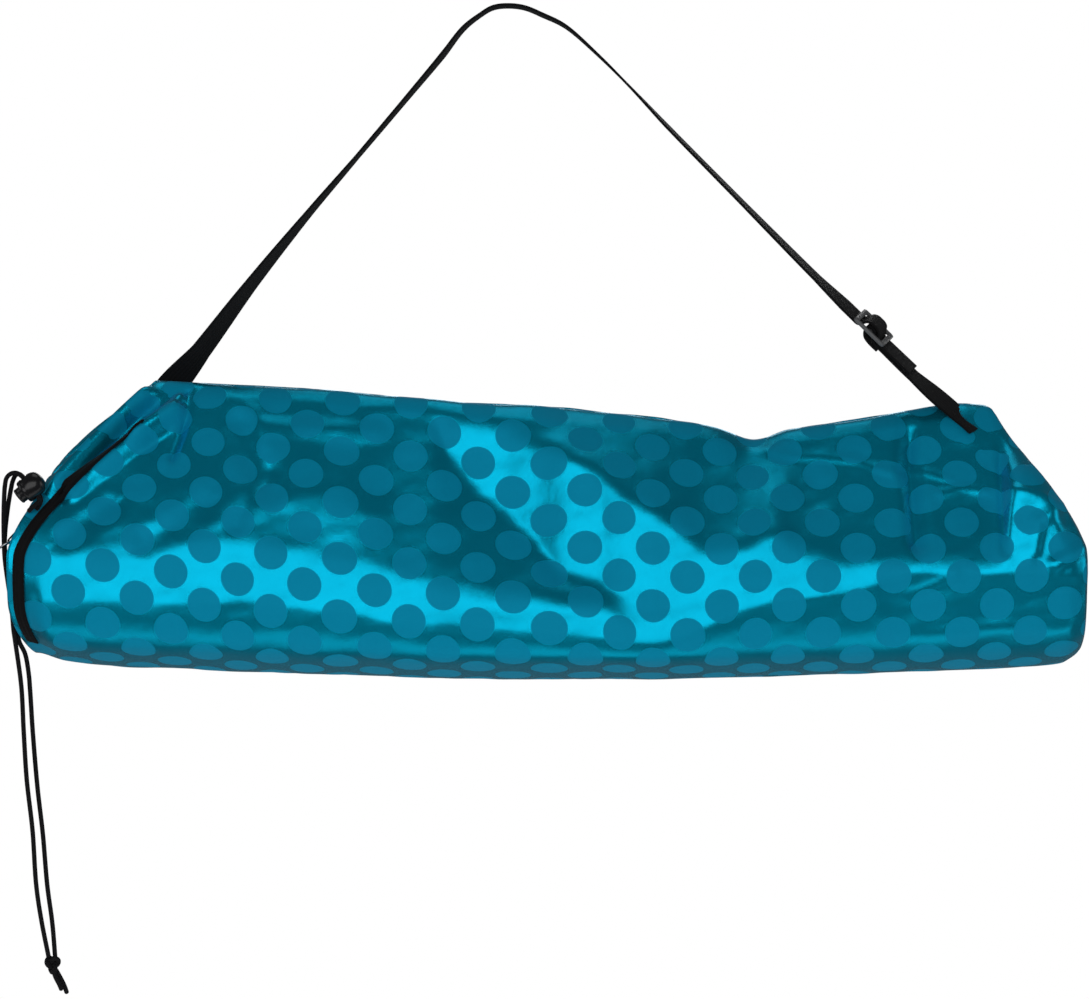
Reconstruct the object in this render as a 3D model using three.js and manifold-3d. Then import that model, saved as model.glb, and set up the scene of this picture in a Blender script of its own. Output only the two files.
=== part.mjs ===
import * as THREE from 'three';
import { mergeVertices } from 'three/addons/utils/BufferGeometryUtils.js';
import Module from 'manifold-3d';

// Yoga mat bag, hanging level from the top of its strap.
// Millimetres, +Z up, +X towards the closed end, +Y away from the face with the folds.
// The origin is the underside of the webbing at the top of the strap.

// Bag sizes
const bagLength = 684.5;
const bagHeight = 190;
const bagDrop = 243;
const mouthReach = 317.5;
const rollRadius = 60;
const ridgeRadius = 7;
const clothWall = 1.6;
const mouthLean = 89.5;
const mouthCorner = 13;
const mouthLeanSpan = 0.45;
const endLean = 55;
const endLeanSpan = 0.4;
const endBulge = 4;
const fitGap = 0.3;
const seatGap = 0.7;

// Mouth end sizes
const mouthRadius = 13;
const mouthForward = 12;
const mouthRecess = 12;
const mouthPuff = 4;
const mouthHem = 3.2;
const gatherCount = 14;
const gatherDepth = 2.2;
const bandWidth = 8;
const bandThick = 1.2;
const bandInsetLow = 5;
const bandInsetHigh = 31;

// Webbing and slider sizes
const webWidth = 20;
const webThick = 1.6;
const strapShare = 0.952;
const footLength = 24;
const leftFootAside = 5;
const leftFootDown = 9;
const rightFootAside = 46;
const rightFootDown = 24.7;
const tailLength = 24;
const sliderPlace = 0.797;
const sliderLength = 26;
const sliderThick = 2.5;
const sliderBar = 3.5;
const sliderRail = 2.6;
const sliderSlack = 0.6;

// Drawcord and cord lock sizes
const cordDiameter = 3;
const lockRadius = 8.2;
const lockLength = 15.5;
const lockBore = 5.5;
const stemPlay = 0.4;
const buttonTravel = 3;
const slotWidth = 7.4;
const slotHeight = 5.4;
const ringInner = 3.9;
const ringWire = 1.3;
const ringClear = 2.3;
const ringAside = 14;
const ringRise = 26;
const tabWidth = 4;
const tabThick = 0.9;
const tabLength = 10.8;
const knotWidth = 10;
const knotHeight = 12;
const knotTail = 15;

const shares = (names, rows) => rows.map((row) => Object.fromEntries(names.map((name, k) => [name, row[k]])));

// The bag from mouth to end. at is a share of the length, top and low are shares of the height
// measured in from the highest and lowest points, depth and sway are shares of the roll's radius.
const bagRows = shares(['at', 'top', 'low', 'depth', 'sway'], [
  [0, 0, 0.09, 0.95, 0],
  [0.03, 0.002, 0.063, 0.975, 0],
  [0.07, 0.006, 0.047, 1, -0.02],
  [0.13, 0.012, 0.038, 1, -0.04],
  [0.2, 0.019, 0.028, 1, -0.06],
  [0.3, 0.04, 0.015, 1, -0.12],
  [0.4, 0.071, 0.004, 1, -0.26],
  [0.5, 0.09, 0, 1, -0.2],
  [0.6, 0.126, 0.001, 1, 0],
  [0.66, 0.158, 0.005, 0.99, 0.08],
  [0.7, 0.203, 0.01, 0.98, 0.12],
  [0.74, 0.166, 0.014, 0.98, 0.06],
  [0.8, 0.141, 0.02, 0.98, 0],
  [0.9, 0.094, 0.032, 0.97, -0.04],
  [0.95, 0.08, 0.042, 0.97, -0.04],
  [0.985, 0.083, 0.056, 0.96, -0.02],
  [1, 0.092, 0.082, 0.9, 0],
]);

// Folds as soft ridges from one place to another. side is -1 for the front and 1 for the back,
// x is a share of the bag's length and z of its height, rise is a share of the roll's radius,
// under and over are widths on the two sides as shares of the height, edge is 1 for a sharp crease.
const foldRows = shares(['side', 'x1', 'z1', 'x2', 'z2', 'rise', 'under', 'over', 'edge'], [
  [-1, 0.472, 0.9, 0.645, 0.43, 0.2, 0.28, 0.24, 0.2],
  [-1, 0.378, 0.77, 0.519, 0.34, -0.25, 0.2, 0.2, 0],
  [-1, 0.284, 0.56, 0.36, 0.52, 0.1, 0.2, 0.22, 0],
  [-1, 0.566, 0.22, 0.679, 0.25, 0.1, 0.2, 0.2, 0],
  [-1, 0.726, 0.34, 0.97, 0.42, 0.12, 0.18, 0.18, 1],
  [-1, 0.834, 0.84, 0.834, 0.46, -0.13, 0.1, 0.1, 0],
  [-1, 0.717, 0.76, 0.82, 0.69, 0.08, 0.07, 0.09, 0.8],
  [-1, 0.93, 0.66, 0.938, 0.47, 0.12, 0.11, 0.11, 0.3],
  [-1, 0.15, 0.93, 0.062, 0.63, 0.11, 0.07, 0.09, 0.6],
  [-1, 0.155, 0.91, 0.098, 0.46, 0.1, 0.07, 0.08, 0.6],
  [-1, 0.163, 0.9, 0.145, 0.46, 0.09, 0.07, 0.08, 0.6],
  [-1, 0.21, 0.86, 0.25, 0.6, -0.08, 0.1, 0.1, 0],
  [-1, 0.24, 0.86, 0.34, 0.85, 0.06, 0.07, 0.07, 0.5],
  [-1, 0.7, 0.86, 0.66, 0.6, -0.1, 0.1, 0.12, 0],
  [1, 0.62, 0.82, 0.42, 0.45, 0.16, 0.22, 0.22, 0.2],
  [1, 0.7, 0.78, 0.6, 0.45, -0.14, 0.14, 0.14, 0],
  [1, 0.16, 0.8, 0.24, 0.5, 0.1, 0.1, 0.1, 0.5],
  [1, 0.86, 0.85, 0.78, 0.5, 0.12, 0.12, 0.12, 0.4],
  [1, 0.1, 0.36, 0.5, 0.3, 0.08, 0.16, 0.16, 0.8],
]);

// Strap between its feet and its peak. out is a share of the level reach, down a share of the drop,
// turn is how far the webbing's flat side turns from facing up to facing sideways, in degrees.
const leftLeg = shares(['out', 'down', 'turn'], [
  [0, 0, 0],
  [0.045, 0.005, 0],
  [0.085, 0.026, 0],
  [0.13, 0.058, 2],
  [0.19, 0.126, 4],
  [0.3, 0.242, 2],
  [0.439, 0.387, 1],
  [0.583, 0.535, 6],
  [0.75, 0.716, 17],
  [0.895, 0.885, 32],
  [1, 1, 52],
]);
const rightLeg = shares(['out', 'down', 'turn'], [
  [0, 0, 0],
  [0.037, 0.005, 0],
  [0.077, 0.023, 0],
  [0.127, 0.05, 1],
  [0.2, 0.12, 3],
  [0.28, 0.208, 5],
  [0.353, 0.293, 9],
  [0.52, 0.48, 11],
  [0.69, 0.669, 16],
  [1, 1, 34],
]);

// Webbing round the slider's bars. on is a share of the slider's length, off counts half layers
// of webbing and slider out from the middle of the bars.
const longThread = shares(['on', 'off'], [
  [-0.9, -1], [-0.62, -1], [-0.45, -1.02], [-0.39, -1], [-0.325, -0.72], [-0.265, 0.3], [-0.215, 1.3],
  [-0.13, 1.86], [0, 1.96], [0.09, 1.9], [0.17, 1.55], [0.225, 0.7], [0.27, -0.2], [0.325, -0.85],
  [0.4, -1.03], [0.5, -1.03],
]);
const anchorThread = shares(['on', 'off'], [
  [0.46, -2.67], [0.2, -2.66], [0.02, -2.3], [-0.07, -1.5], [-0.12, -0.4], [-0.112, 0.66], [0, 1.06],
  [0.1, 0.85], [0.14, 0], [0.185, -0.95], [0.26, -1.62], [0.36, -1.86], [0.5, -1.86],
]);

// Drawcord routes, chosen by eye from where each strand leaves the hem to the knot.
const leftCordRoute = [
  [-304.2, -50.8, -325.6], [-301.6, -54.1, -323.2], [-297.2, -55.0, -319.0], [-302.7, -54.7, -310.4],
  [-307.6, -54.7, -304.4], [-311.2, -54.5, -301.7], [-315.0, -54.0, -301.9], [-318.0, -53.3, -304.5],
  [-319.2, -52.4, -309.0], [-320.0, -50.8, -318.0], [-320.5, -49.0, -332.0], [-320.4, -47.7, -347.0],
  [-320.0, -47.1, -356.0], [-318.6, -46.2, -368.0], [-317.0, -44.0, -380.0], [-316.2, -39.0, -392.0],
  [-316.0, -33.5, -402.0], [-315.2, -30.5, -410.0], [-311.6, -29.0, -437.8], [-310.1, -28.5, -467.0],
  [-308.2, -28.0, -498.0], [-304.6, -27.5, -530.0], [-302.2, -27.0, -566.0], [-299.0, -26.6, -588.0],
  [-294.4, -26.2, -611.5],
];
const rightCordRoute = [
  [-299.7, -50.4, -324.8], [-297.3, -50.9, -321.2], [-296.6, -51.2, -317.6], [-302.7, -51.3, -310.4],
  [-307.6, -51.3, -304.4], [-310.4, -50.0, -302.2], [-313.0, -47.6, -302.9], [-315.0, -45.9, -306.4],
  [-316.4, -44.9, -312.0], [-318.4, -44.5, -324.0], [-320.0, -44.3, -338.0], [-320.4, -44.3, -347.0],
  [-319.8, -43.8, -356.0], [-318.0, -42.6, -368.0], [-316.0, -40.4, -380.0], [-314.8, -35.4, -392.0],
  [-313.8, -30.0, -403.0], [-312.9, -28.5, -409.5], [-309.4, -27.6, -417.0], [-307.2, -27.0, -429.0],
  [-306.2, -26.6, -441.0], [-304.6, -26.0, -467.0], [-301.6, -25.6, -503.0], [-298.2, -25.2, -533.0],
  [-295.4, -24.8, -566.0], [-292.2, -24.7, -590.0], [-290.4, -24.6, -611.5],
];
const lockStop = 3;
const lockTilt = 39;
const ringDroop = 30;

const satin = { color: 0x0090b4, roughness: 0.4, metalness: 0.5 };
const webbing = { color: 0x0c0c0e, roughness: 0.85, metalness: 0 };
const blackPlastic = { color: 0x101012, roughness: 0.35, metalness: 0 };
const greyPlastic = { color: 0x4a4b4d, roughness: 0.45, metalness: 0.2 };
const brightSteel = { color: 0xb8babd, roughness: 0.25, metalness: 1 };

const vec = (x, y, z) => new THREE.Vector3(x, y, z);
const clamp01 = (value) => Math.min(1, Math.max(0, value));
const smooth = (value) => clamp01(value) ** 2 * (3 - 2 * clamp01(value));
const degrees = (angle) => THREE.MathUtils.degToRad(angle);

// A column of a table, read between its rows on a smooth curve
function readTable(rows, key, column, place) {
  let k = 0;
  while (k < rows.length - 2 && rows[k + 1][key] < place) {
    k += 1;
  }
  const before = rows[Math.max(0, k - 1)][column];
  const after = rows[Math.min(rows.length - 1, k + 2)][column];
  const span = rows[k + 1][key] - rows[k][key];
  const t = clamp01((place - rows[k][key]) / span);
  const startSlope = k > 0 ? (rows[k + 1][column] - before) / (rows[k + 1][key] - rows[k - 1][key]) * span : 0;
  const endSlope = k < rows.length - 2
    ? (after - rows[k][column]) / (rows[k + 2][key] - rows[k][key]) * span : 0;
  return rows[k][column] * (2 * t ** 3 - 3 * t ** 2 + 1) + startSlope * (t ** 3 - 2 * t ** 2 + t)
    + rows[k + 1][column] * (3 * t ** 2 - 2 * t ** 3) + endSlope * (t ** 3 - t ** 2);
}

// Closed solid from rings of points. The first and last rings meet when the rings wrap,
// and are closed by a fan round their middle when they don't.
function ringSolid(rings, wrapRings = false) {
  const around = rings[0].length;
  const points = rings.flat();
  const index = [];
  const last = wrapRings ? rings.length : rings.length - 1;
  for (let i = 0; i < last; i += 1) {
    const here = i * around;
    const next = ((i + 1) % rings.length) * around;
    for (let j = 0; j < around; j += 1) {
      const k = (j + 1) % around;
      index.push(here + j, next + j, next + k, here + j, next + k, here + k);
    }
  }
  if (!wrapRings) {
    for (const [start, turn] of [[0, 1], [(rings.length - 1) * around, -1]]) {
      const middle = points.length;
      const centre = vec(0, 0, 0);
      for (let j = 0; j < around; j += 1) {
        centre.addScaledVector(points[start + j], 1 / around);
      }
      points.push(centre);
      for (let j = 0; j < around; j += 1) {
        const k = (j + 1) % around;
        index.push(middle, start + (turn > 0 ? j : k), start + (turn > 0 ? k : j));
      }
    }
  }
  const geometry = new THREE.BufferGeometry();
  geometry.setAttribute('position', new THREE.Float32BufferAttribute(points.flatMap((p) => p.toArray()), 3));
  geometry.setIndex(index);
  return facingOut(geometry);
}

// Turns a geometry's triangles round if its faces point inwards
function facingOut(geometry) {
  const position = geometry.attributes.position;
  const index = geometry.index.array;
  const [a, b, c] = [vec(0, 0, 0), vec(0, 0, 0), vec(0, 0, 0)];
  let volume = 0;
  for (let k = 0; k < index.length; k += 3) {
    a.fromBufferAttribute(position, index[k]);
    b.fromBufferAttribute(position, index[k + 1]);
    c.fromBufferAttribute(position, index[k + 2]);
    volume += a.dot(b.cross(c));
  }
  if (volume < 0) {
    for (let k = 0; k < index.length; k += 3) {
      [index[k + 1], index[k + 2]] = [index[k + 2], index[k + 1]];
    }
  }
  geometry.computeVertexNormals();
  return geometry;
}

// Joining and cutting
const manifold = await Module();
manifold.setup();

function toSolid(geometry) {
  const bare = geometry.clone();
  bare.deleteAttribute('normal');
  bare.deleteAttribute('uv');
  const merged = mergeVertices(bare, 1e-4);
  return new manifold.Manifold(new manifold.Mesh({
    numProp: 3,
    vertProperties: new Float32Array(merged.attributes.position.array),
    triVerts: new Uint32Array(merged.index.array),
  }));
}

function toGeometry(solid) {
  const mesh = solid.getMesh();
  const geometry = new THREE.BufferGeometry();
  geometry.setAttribute('position', new THREE.BufferAttribute(new Float32Array(mesh.vertProperties), 3));
  geometry.setIndex(Array.from(mesh.triVerts));
  geometry.computeVertexNormals();
  return geometry;
}

// The bag's surface

const mouthEdge = -mouthReach;
const bagTop = -bagDrop;
const bagFloor = bagTop - bagHeight;

// How far the mouth edge stands in from its reach at a share of the height
function mouthEdgeIn(height) {
  return mouthLean * clamp01((height - 0.4) / 0.6) ** 1.5 + mouthCorner * clamp01(1 - height / 0.2) ** 2;
}

function endLeanAt(height) {
  return smooth((height - 0.38) / 0.75) * 1.08;
}

// Middle, radius and slope of the section at a place along the bag
function bagSection(along) {
  const top = bagTop - readTable(bagRows, 'at', 'top', along) * bagHeight;
  const low = bagFloor + readTable(bagRows, 'at', 'low', along) * bagHeight;
  const radius = readTable(bagRows, 'at', 'depth', along) * rollRadius;
  const sway = readTable(bagRows, 'at', 'sway', along) * rollRadius;
  const middle = low + radius;
  const rise = top - ridgeRadius - middle;
  const turn = Math.acos((radius - ridgeRadius) / rise);
  const flank = Math.sqrt(rise ** 2 - (radius - ridgeRadius) ** 2);
  return { top, low, radius, sway, middle, turn, flank };
}

// Sideways push of the folds at a place on the cloth
function foldPush(side, x, z) {
  let push = 0;
  for (const fold of foldRows) {
    if (fold.side !== side) {
      continue;
    }
    const start = new THREE.Vector2(fold.x1 * bagLength, fold.z1 * bagHeight);
    const run = new THREE.Vector2(fold.x2 * bagLength, fold.z2 * bagHeight).sub(start);
    const here = new THREE.Vector2(x - mouthEdge, z - bagFloor).sub(start);
    const share = clamp01(here.dot(run) / run.lengthSq());
    const away = here.clone().addScaledVector(run, -share);
    const isOver = run.cross(here) * Math.sign(run.x || -1) > 0;
    const reach = away.length() / ((isOver ? fold.over : fold.under) * bagHeight);
    if (reach < 1) {
      const soft = (1 - reach ** 2) ** 2;
      const sharp = (1 - reach) ** 2;
      push += fold.rise * rollRadius * (soft + (sharp - soft) * fold.edge);
    }
  }
  return push;
}

// The cloth stays plain beside the mouth hem and where the webbing is sewn on
function foldRoom(side, x, z, height) {
  const edge = mouthEdge + mouthEdgeIn(height);
  const inset = bandInset(height) + bandWidth;
  const beside = smooth((x - edge - inset * 0.7) / (bandWidth * 2));
  const foot = side > 0 ? [backFootX, bagTop] : [frontFootX, bagTop - 0.1 * bagHeight];
  const fromFoot = Math.hypot(x - foot[0], z - foot[1]);
  return beside * smooth((fromFoot - footLength * 0.8) / footLength);
}

function bandInset(height) {
  const share = clamp01((height - 0.2) / 0.75) ** 1.3;
  return bandInsetLow + (bandInsetHigh - bandInsetLow) * share;
}

const backFootX = mouthEdge + mouthLean;
const frontFootX = mouthEdge + bagLength * strapShare;

// Point of the cloth's outside. round goes from 0 at the ridge down the front, 0.5 at the bottom,
// and up the back to 1. sink moves the point inwards.
function bagPoint(along, round, sink = 0) {
  const section = bagSection(along);
  const side = round <= 0.5 ? -1 : 1;
  const share = round <= 0.5 ? round * 2 : 2 - round * 2;
  const topArc = ridgeRadius * section.turn;
  const lowArc = section.radius * (Math.PI - section.turn);
  const walked = share * (topArc + section.flank + lowArc);
  let angle = section.turn;
  let out = 0;
  let up = 0;
  if (walked < topArc) {
    angle = walked / ridgeRadius;
    out = ridgeRadius * Math.sin(angle);
    up = section.top - ridgeRadius + ridgeRadius * Math.cos(angle);
  } else if (walked < topArc + section.flank) {
    const down = (walked - topArc) / section.flank;
    out = (ridgeRadius + (section.radius - ridgeRadius) * down) * Math.sin(angle);
    const high = section.top - ridgeRadius + ridgeRadius * Math.cos(angle);
    up = high + (section.middle + section.radius * Math.cos(angle) - high) * down;
  } else {
    angle = section.turn + (walked - topArc - section.flank) / section.radius;
    out = section.radius * Math.sin(angle);
    up = section.middle + section.radius * Math.cos(angle);
  }
  const height = (up - section.low) / (section.top - section.low);
  const x = mouthEdge + bagLength * along
    + clamp01(1 - along / mouthLeanSpan) ** 2 * mouthEdgeIn(height)
    - endLean * clamp01(1 - (1 - along) / endLeanSpan) ** 2 * endLeanAt(height);
  const swing = section.sway * clamp01((up - section.middle) / (section.top - section.middle));
  const fold = foldPush(side, x, up) * foldRoom(side, x, up, height) * smooth((1 - height) * 8);
  const push = fold * smooth(height * 5) - sink;
  return vec(x, side * (out + push * Math.sin(angle)) + swing, up + push * Math.cos(angle));
}

// The grid of the faceted bag, closer together towards both ends
const bagSteps = 26;
const endCrowding = 0.4;
const bagAround = gatherCount * 4;
const stepPlace = (share) => share - endCrowding * Math.sin(2 * Math.PI * share) / (2 * Math.PI);
const bagGrid = [];
for (let i = 0; i <= bagSteps; i += 1) {
  const ring = [];
  for (let j = 0; j < bagAround; j += 1) {
    ring.push(bagPoint(stepPlace(i / bagSteps), j / bagAround));
  }
  bagGrid.push(ring);
}

// Place on the faceted bag, with the way out of the cloth there. edge is the distance along X
// from the leaning mouth edge.
function onBag(x, round) {
  const column = ((round % 1) + 1) % 1 * bagAround;
  const j = Math.floor(column);
  const part = column - j;
  const at = (i, shift) => bagGrid[i][(j + shift) % bagAround];
  const level = (i) => at(i, 0).clone().lerp(at(i, 1), part);
  let i = 0;
  while (i < bagSteps - 1 && level(i + 1).x < x) {
    i += 1;
  }
  const [a, b] = [level(i), level(i + 1)];
  const point = a.clone().lerp(b, clamp01((x - a.x) / (b.x - a.x)));
  const across = at(i, 1).clone().sub(at(i, 0)).add(at(i + 1, 1)).sub(at(i + 1, 0));
  return { point, out: across.cross(b.clone().sub(a)).normalize() };
}

// Place on the bag's front or back at a height
function onBagAt(side, x, z) {
  let [near, far] = side < 0 ? [0, 0.5] : [1, 0.5];
  for (let k = 0; k < 24; k += 1) {
    const half = (near + far) / 2;
    if (onBag(x, half).point.z > z) {
      near = half;
    } else {
      far = half;
    }
  }
  return onBag(x, near);
}

function bagBody() {
  const inside = bagGrid.map((ring, i) => ring.map(
    (point, j) => bagPoint(stepPlace(i / bagSteps), j / bagAround, clothWall)));
  return ringSolid([...bagGrid, ...inside.reverse()], true);
}

// The end panel sits inside the tube's end and crowns outwards a little
function endPanel() {
  const rings = [];
  const middle = bagSection(1);
  const centre = vec(mouthEdge + bagLength - endLean * 0.3, 0, (middle.top + middle.low) / 2);
  const layer = (size, depth, along) => {
    const ring = [];
    for (let j = 0; j < bagAround; j += 1) {
      const rim = bagPoint(along, j / bagAround, clothWall + fitGap * 3);
      const flat = rim.clone();
      flat.lerp(centre, 1 - size);
      flat.x += depth;
      ring.push(flat);
    }
    return ring;
  };
  const crowned = (size) => endBulge * (1 - size ** 4);
  for (const size of [0.4, 0.8, 1]) {
    rings.push(layer(size, crowned(size), 1));
  }
  rings.push(layer(0.99, 0, 0.992));
  for (const size of [0.97, 0.8, 0.4]) {
    rings.push(layer(size, crowned(size) - clothWall, 1));
  }
  return ringSolid(rings);
}

// The gathered mouth is sewn a little inside the tube's edge and runs out to a small open ring
const mouthNormal = vec(-0.85, 0, 0.53).normalize();
const mouthUp = vec(0.53, 0, 0.85).normalize();
const mouthCentre = vec(mouthEdge + 0.22 * mouthLean, -mouthForward, bagTop - 0.384 * bagHeight);
const mouthRound = (share) => mouthCentre.clone()
  .addScaledVector(mouthUp, mouthRadius * Math.cos(2 * Math.PI * share))
  .add(vec(0, -mouthRadius * Math.sin(2 * Math.PI * share), 0));
const capUnder = clothWall + fitGap * 3;

function mouthPoint(reach, share, sink) {
  const point = bagPoint(mouthRecess / bagLength, share, capUnder).lerp(mouthRound(share), reach);
  const gather = Math.cos(2 * Math.PI * gatherCount * share) * gatherDepth * smooth(reach * 1.4);
  const puff = mouthPuff * 4 * reach * (1 - reach) + gather * (1 - 0.6 * smooth(reach * 4 - 3));
  return point.addScaledVector(mouthNormal, puff - sink);
}

function mouthCap() {
  const ringOf = (place) => Array.from({ length: bagAround }, (_, j) => place(j / bagAround));
  const tuck = (sink) => ringOf((share) => bagPoint((mouthRecess + 5) / bagLength, share, sink));
  const reaches = [0.03, 0.2, 0.45, 0.75, 1];
  const wall = (reach) => clothWall + (mouthHem - clothWall) * smooth(reach * 6 - 5);
  const outer = reaches.map((reach) => ringOf((share) => mouthPoint(reach, share, 0)));
  const inner = reaches.map((reach) => ringOf((share) => mouthPoint(reach, share, wall(reach))));
  return ringSolid([tuck(capUnder), ...outer, ...inner.reverse(), tuck(capUnder + clothWall)], true);
}

// Tape sewn on the tube beside the mouth, from near the bottom up to below the ridge,
// laid column by column on the faceted cloth. endShare is how far down from the ridge it ends.
const bandLowShare = 0.88;

function mouthBand(side, endShare) {
  const rings = [];
  const section = bagSection(0);
  const firstColumn = Math.round(endShare * bagAround / 2);
  const lastColumn = Math.round(bandLowShare * bagAround / 2);
  for (let column = firstColumn; column <= lastColumn; column += 1) {
    const round = (side < 0 ? column : bagAround - column) / bagAround;
    const edge = bagPoint(0, round);
    const inset = bandInset((edge.z - section.low) / (section.top - section.low));
    const near = onBag(edge.x + inset - bandWidth / 2, round);
    const far = onBag(edge.x + inset + bandWidth / 2, round);
    const out = near.out.clone().add(far.out).normalize();
    const lift = (point, height) => point.clone().addScaledVector(out, height);
    rings.push([
      lift(near.point, seatGap), lift(far.point, seatGap),
      lift(far.point, seatGap + bandThick), lift(near.point, seatGap + bandThick),
    ]);
  }
  return ringSolid(rings);
}

// Flat webbing along a row of frames, each with a point, a width direction and a way out
function strip(frames, width, thick) {
  return ringSolid(frames.map(({ point, across, out }) => {
    const side = across.clone().multiplyScalar(width / 2);
    const up = out.clone().multiplyScalar(thick / 2);
    return [
      point.clone().sub(side).sub(up), point.clone().add(side).sub(up),
      point.clone().add(side).add(up), point.clone().sub(side).add(up),
    ];
  }));
}

// Frames along a smooth curve through points that carry their own way out
function framesAlong(stops, steps) {
  const curve = new THREE.CatmullRomCurve3(stops.map((stop) => stop.point), false, 'centripetal');
  const frames = [];
  for (let k = 0; k <= steps; k += 1) {
    const t = k / steps;
    const place = t * (stops.length - 1);
    const i = Math.min(stops.length - 2, Math.floor(place));
    const out = stops[i].out.clone().lerp(stops[i + 1].out, smooth(place - i));
    const ahead = curve.getTangent(t);
    const across = ahead.clone().cross(out).normalize();
    frames.push({ point: curve.getPoint(t), across, out: across.clone().cross(ahead).normalize() });
  }
  return frames;
}

// Where the webbing lies on the cloth at its two feet
const webSeat = webThick / 2 + seatGap + 0.2;

function footStop(side, x, z) {
  const { point, out } = onBagAt(side, x, z);
  return { point: point.clone().addScaledVector(out, webSeat), out };
}

const leftTop = footStop(1, backFootX + leftFootAside, bagTop - leftFootDown);
const leftEnd = footStop(1, backFootX + leftFootAside - footLength / 3, bagTop - leftFootDown - footLength * 0.8);
const rightTop = footStop(-1, frontFootX - rightFootAside, bagTop - rightFootDown);
const rightEnd = footStop(-1, frontFootX - rightFootAside + footLength * 0.42,
  bagTop - rightFootDown - footLength * 0.62);

// One leg of the strap as stops, from the peak to its foot on the cloth
function legStops(rows, foot) {
  const side = Math.sign(foot.point.x);
  const free = rows.slice(0, -1).map((row) => {
    const slope = vec(side, 0, 1).multiplyScalar(row.down > 0.04 ? 1 : row.down * 25).setZ(1).normalize();
    const turn = degrees(row.turn);
    const out = slope.multiplyScalar(Math.cos(turn)).add(vec(0, -side * Math.sin(turn), 0));
    const point = vec(foot.point.x * row.out, foot.point.y * row.out ** 2,
      webThick / 2 + (foot.point.z - webThick / 2) * row.down);
    return { point, out: out.normalize() };
  });
  return [...free, foot];
}

// The slider lies on the right leg, turned as the webbing is there
const rightStops = legStops(rightLeg, rightTop);
const sliderFrame = (() => {
  const start = rightStops[rightStops.length - 2].point;
  const finish = rightStops[rightStops.length - 1].point;
  const ahead = finish.clone().sub(start).normalize();
  const turn = degrees(readTable(rightLeg, 'down', 'turn', sliderPlace));
  const rough = vec(1, 0, 1).normalize().multiplyScalar(Math.cos(turn)).add(vec(0, -Math.sin(turn), 0));
  const across = ahead.clone().cross(rough).normalize();
  const out = across.clone().cross(ahead).normalize();
  const share = (sliderPlace - rightLeg[rightLeg.length - 2].down)
    / (1 - rightLeg[rightLeg.length - 2].down);
  const halfLayer = (sliderThick + webThick) / 2 + fitGap;
  const middle = start.clone().lerp(finish, share).addScaledVector(out, halfLayer);
  return { middle, ahead, across, out, halfLayer };
})();

function atSlider({ on, off }) {
  const point = sliderFrame.middle.clone()
    .addScaledVector(sliderFrame.ahead, on * sliderLength)
    .addScaledVector(sliderFrame.out, off * sliderFrame.halfLayer);
  return { point, out: sliderFrame.out };
}

// Webbing through the slider keeps its width direction, whatever way it runs
function threadFrames(stops, steps) {
  const curve = new THREE.CatmullRomCurve3(stops.map((stop) => stop.point), false, 'centripetal');
  const frames = [];
  for (let k = 0; k <= steps; k += 1) {
    const ahead = curve.getTangent(k / steps);
    const { across } = sliderFrame;
    frames.push({ point: curve.getPoint(k / steps), across, out: across.clone().cross(ahead).normalize() });
  }
  return frames;
}

function strapLong() {
  const left = [...legStops(leftLeg, leftTop), leftEnd].reverse();
  const right = rightStops.slice(1, -1);
  const entry = atSlider(longThread[0]);
  const leg = framesAlong([...left, ...right, entry], 56);
  const tailEnd = atSlider({ on: 0.5 + tailLength / sliderLength, off: -0.92 });
  const thread = threadFrames([...longThread.map(atSlider), tailEnd], 30);
  return strip([...leg, ...thread.slice(1)], webWidth, webThick);
}

function strapAnchor() {
  const thread = threadFrames(anchorThread.map(atSlider), 30);
  const last = thread[thread.length - 1];
  const clear = atSlider({ on: 1.55, off: -1.95 });
  const foot = framesAlong([last, clear, rightTop, rightEnd], 14);
  return strip([...thread, ...foot.slice(1)], webWidth, webThick);
}

// A flat plate with two slots, which leaves three bars and two rails
function strapSlider() {
  const width = webWidth + 2 * (sliderSlack + sliderRail);
  const slot = (sliderLength - 3 * sliderBar) / 2;
  const corner = sliderBar * 0.8;
  const [x, y] = [sliderLength / 2, width / 2];
  const rim = [];
  for (const [sideX, sideY, first] of [[1, -1, -90], [1, 1, 0], [-1, 1, 90], [-1, -1, 180]]) {
    for (const angle of [first, first + 45, first + 90]) {
      rim.push(new THREE.Vector2(sideX * (x - corner) + corner * Math.cos(degrees(angle)),
        sideY * (y - corner) + corner * Math.sin(degrees(angle))));
    }
  }
  const plate = new THREE.ExtrudeGeometry(new THREE.Shape(rim), { depth: sliderThick, bevelEnabled: false })
    .translate(0, 0, -sliderThick / 2);
  let solid = toSolid(plate);
  for (const side of [-1, 1]) {
    const hole = new THREE.BoxGeometry(slot, width - 2 * sliderRail, sliderThick * 2)
      .translate(side * (sliderBar + slot) / 2, 0, 0);
    solid = solid.subtract(toSolid(hole));
  }
  return toGeometry(solid);
}

// Cord along its route, with a step every three diameters
function cordTube(route) {
  const curve = new THREE.CatmullRomCurve3(route.map((point) => vec(...point)), false, 'centripetal');
  const section = new THREE.Shape();
  for (let k = 0; k < 8; k += 1) {
    const angle = 2 * Math.PI * k / 8;
    const move = k === 0 ? 'moveTo' : 'lineTo';
    section[move](cordDiameter / 2 * Math.cos(angle), cordDiameter / 2 * Math.sin(angle));
  }
  const steps = Math.round(curve.getLength() / (cordDiameter * 3));
  return new THREE.ExtrudeGeometry(section, { steps, bevelEnabled: false, extrudePath: curve });
}

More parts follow.
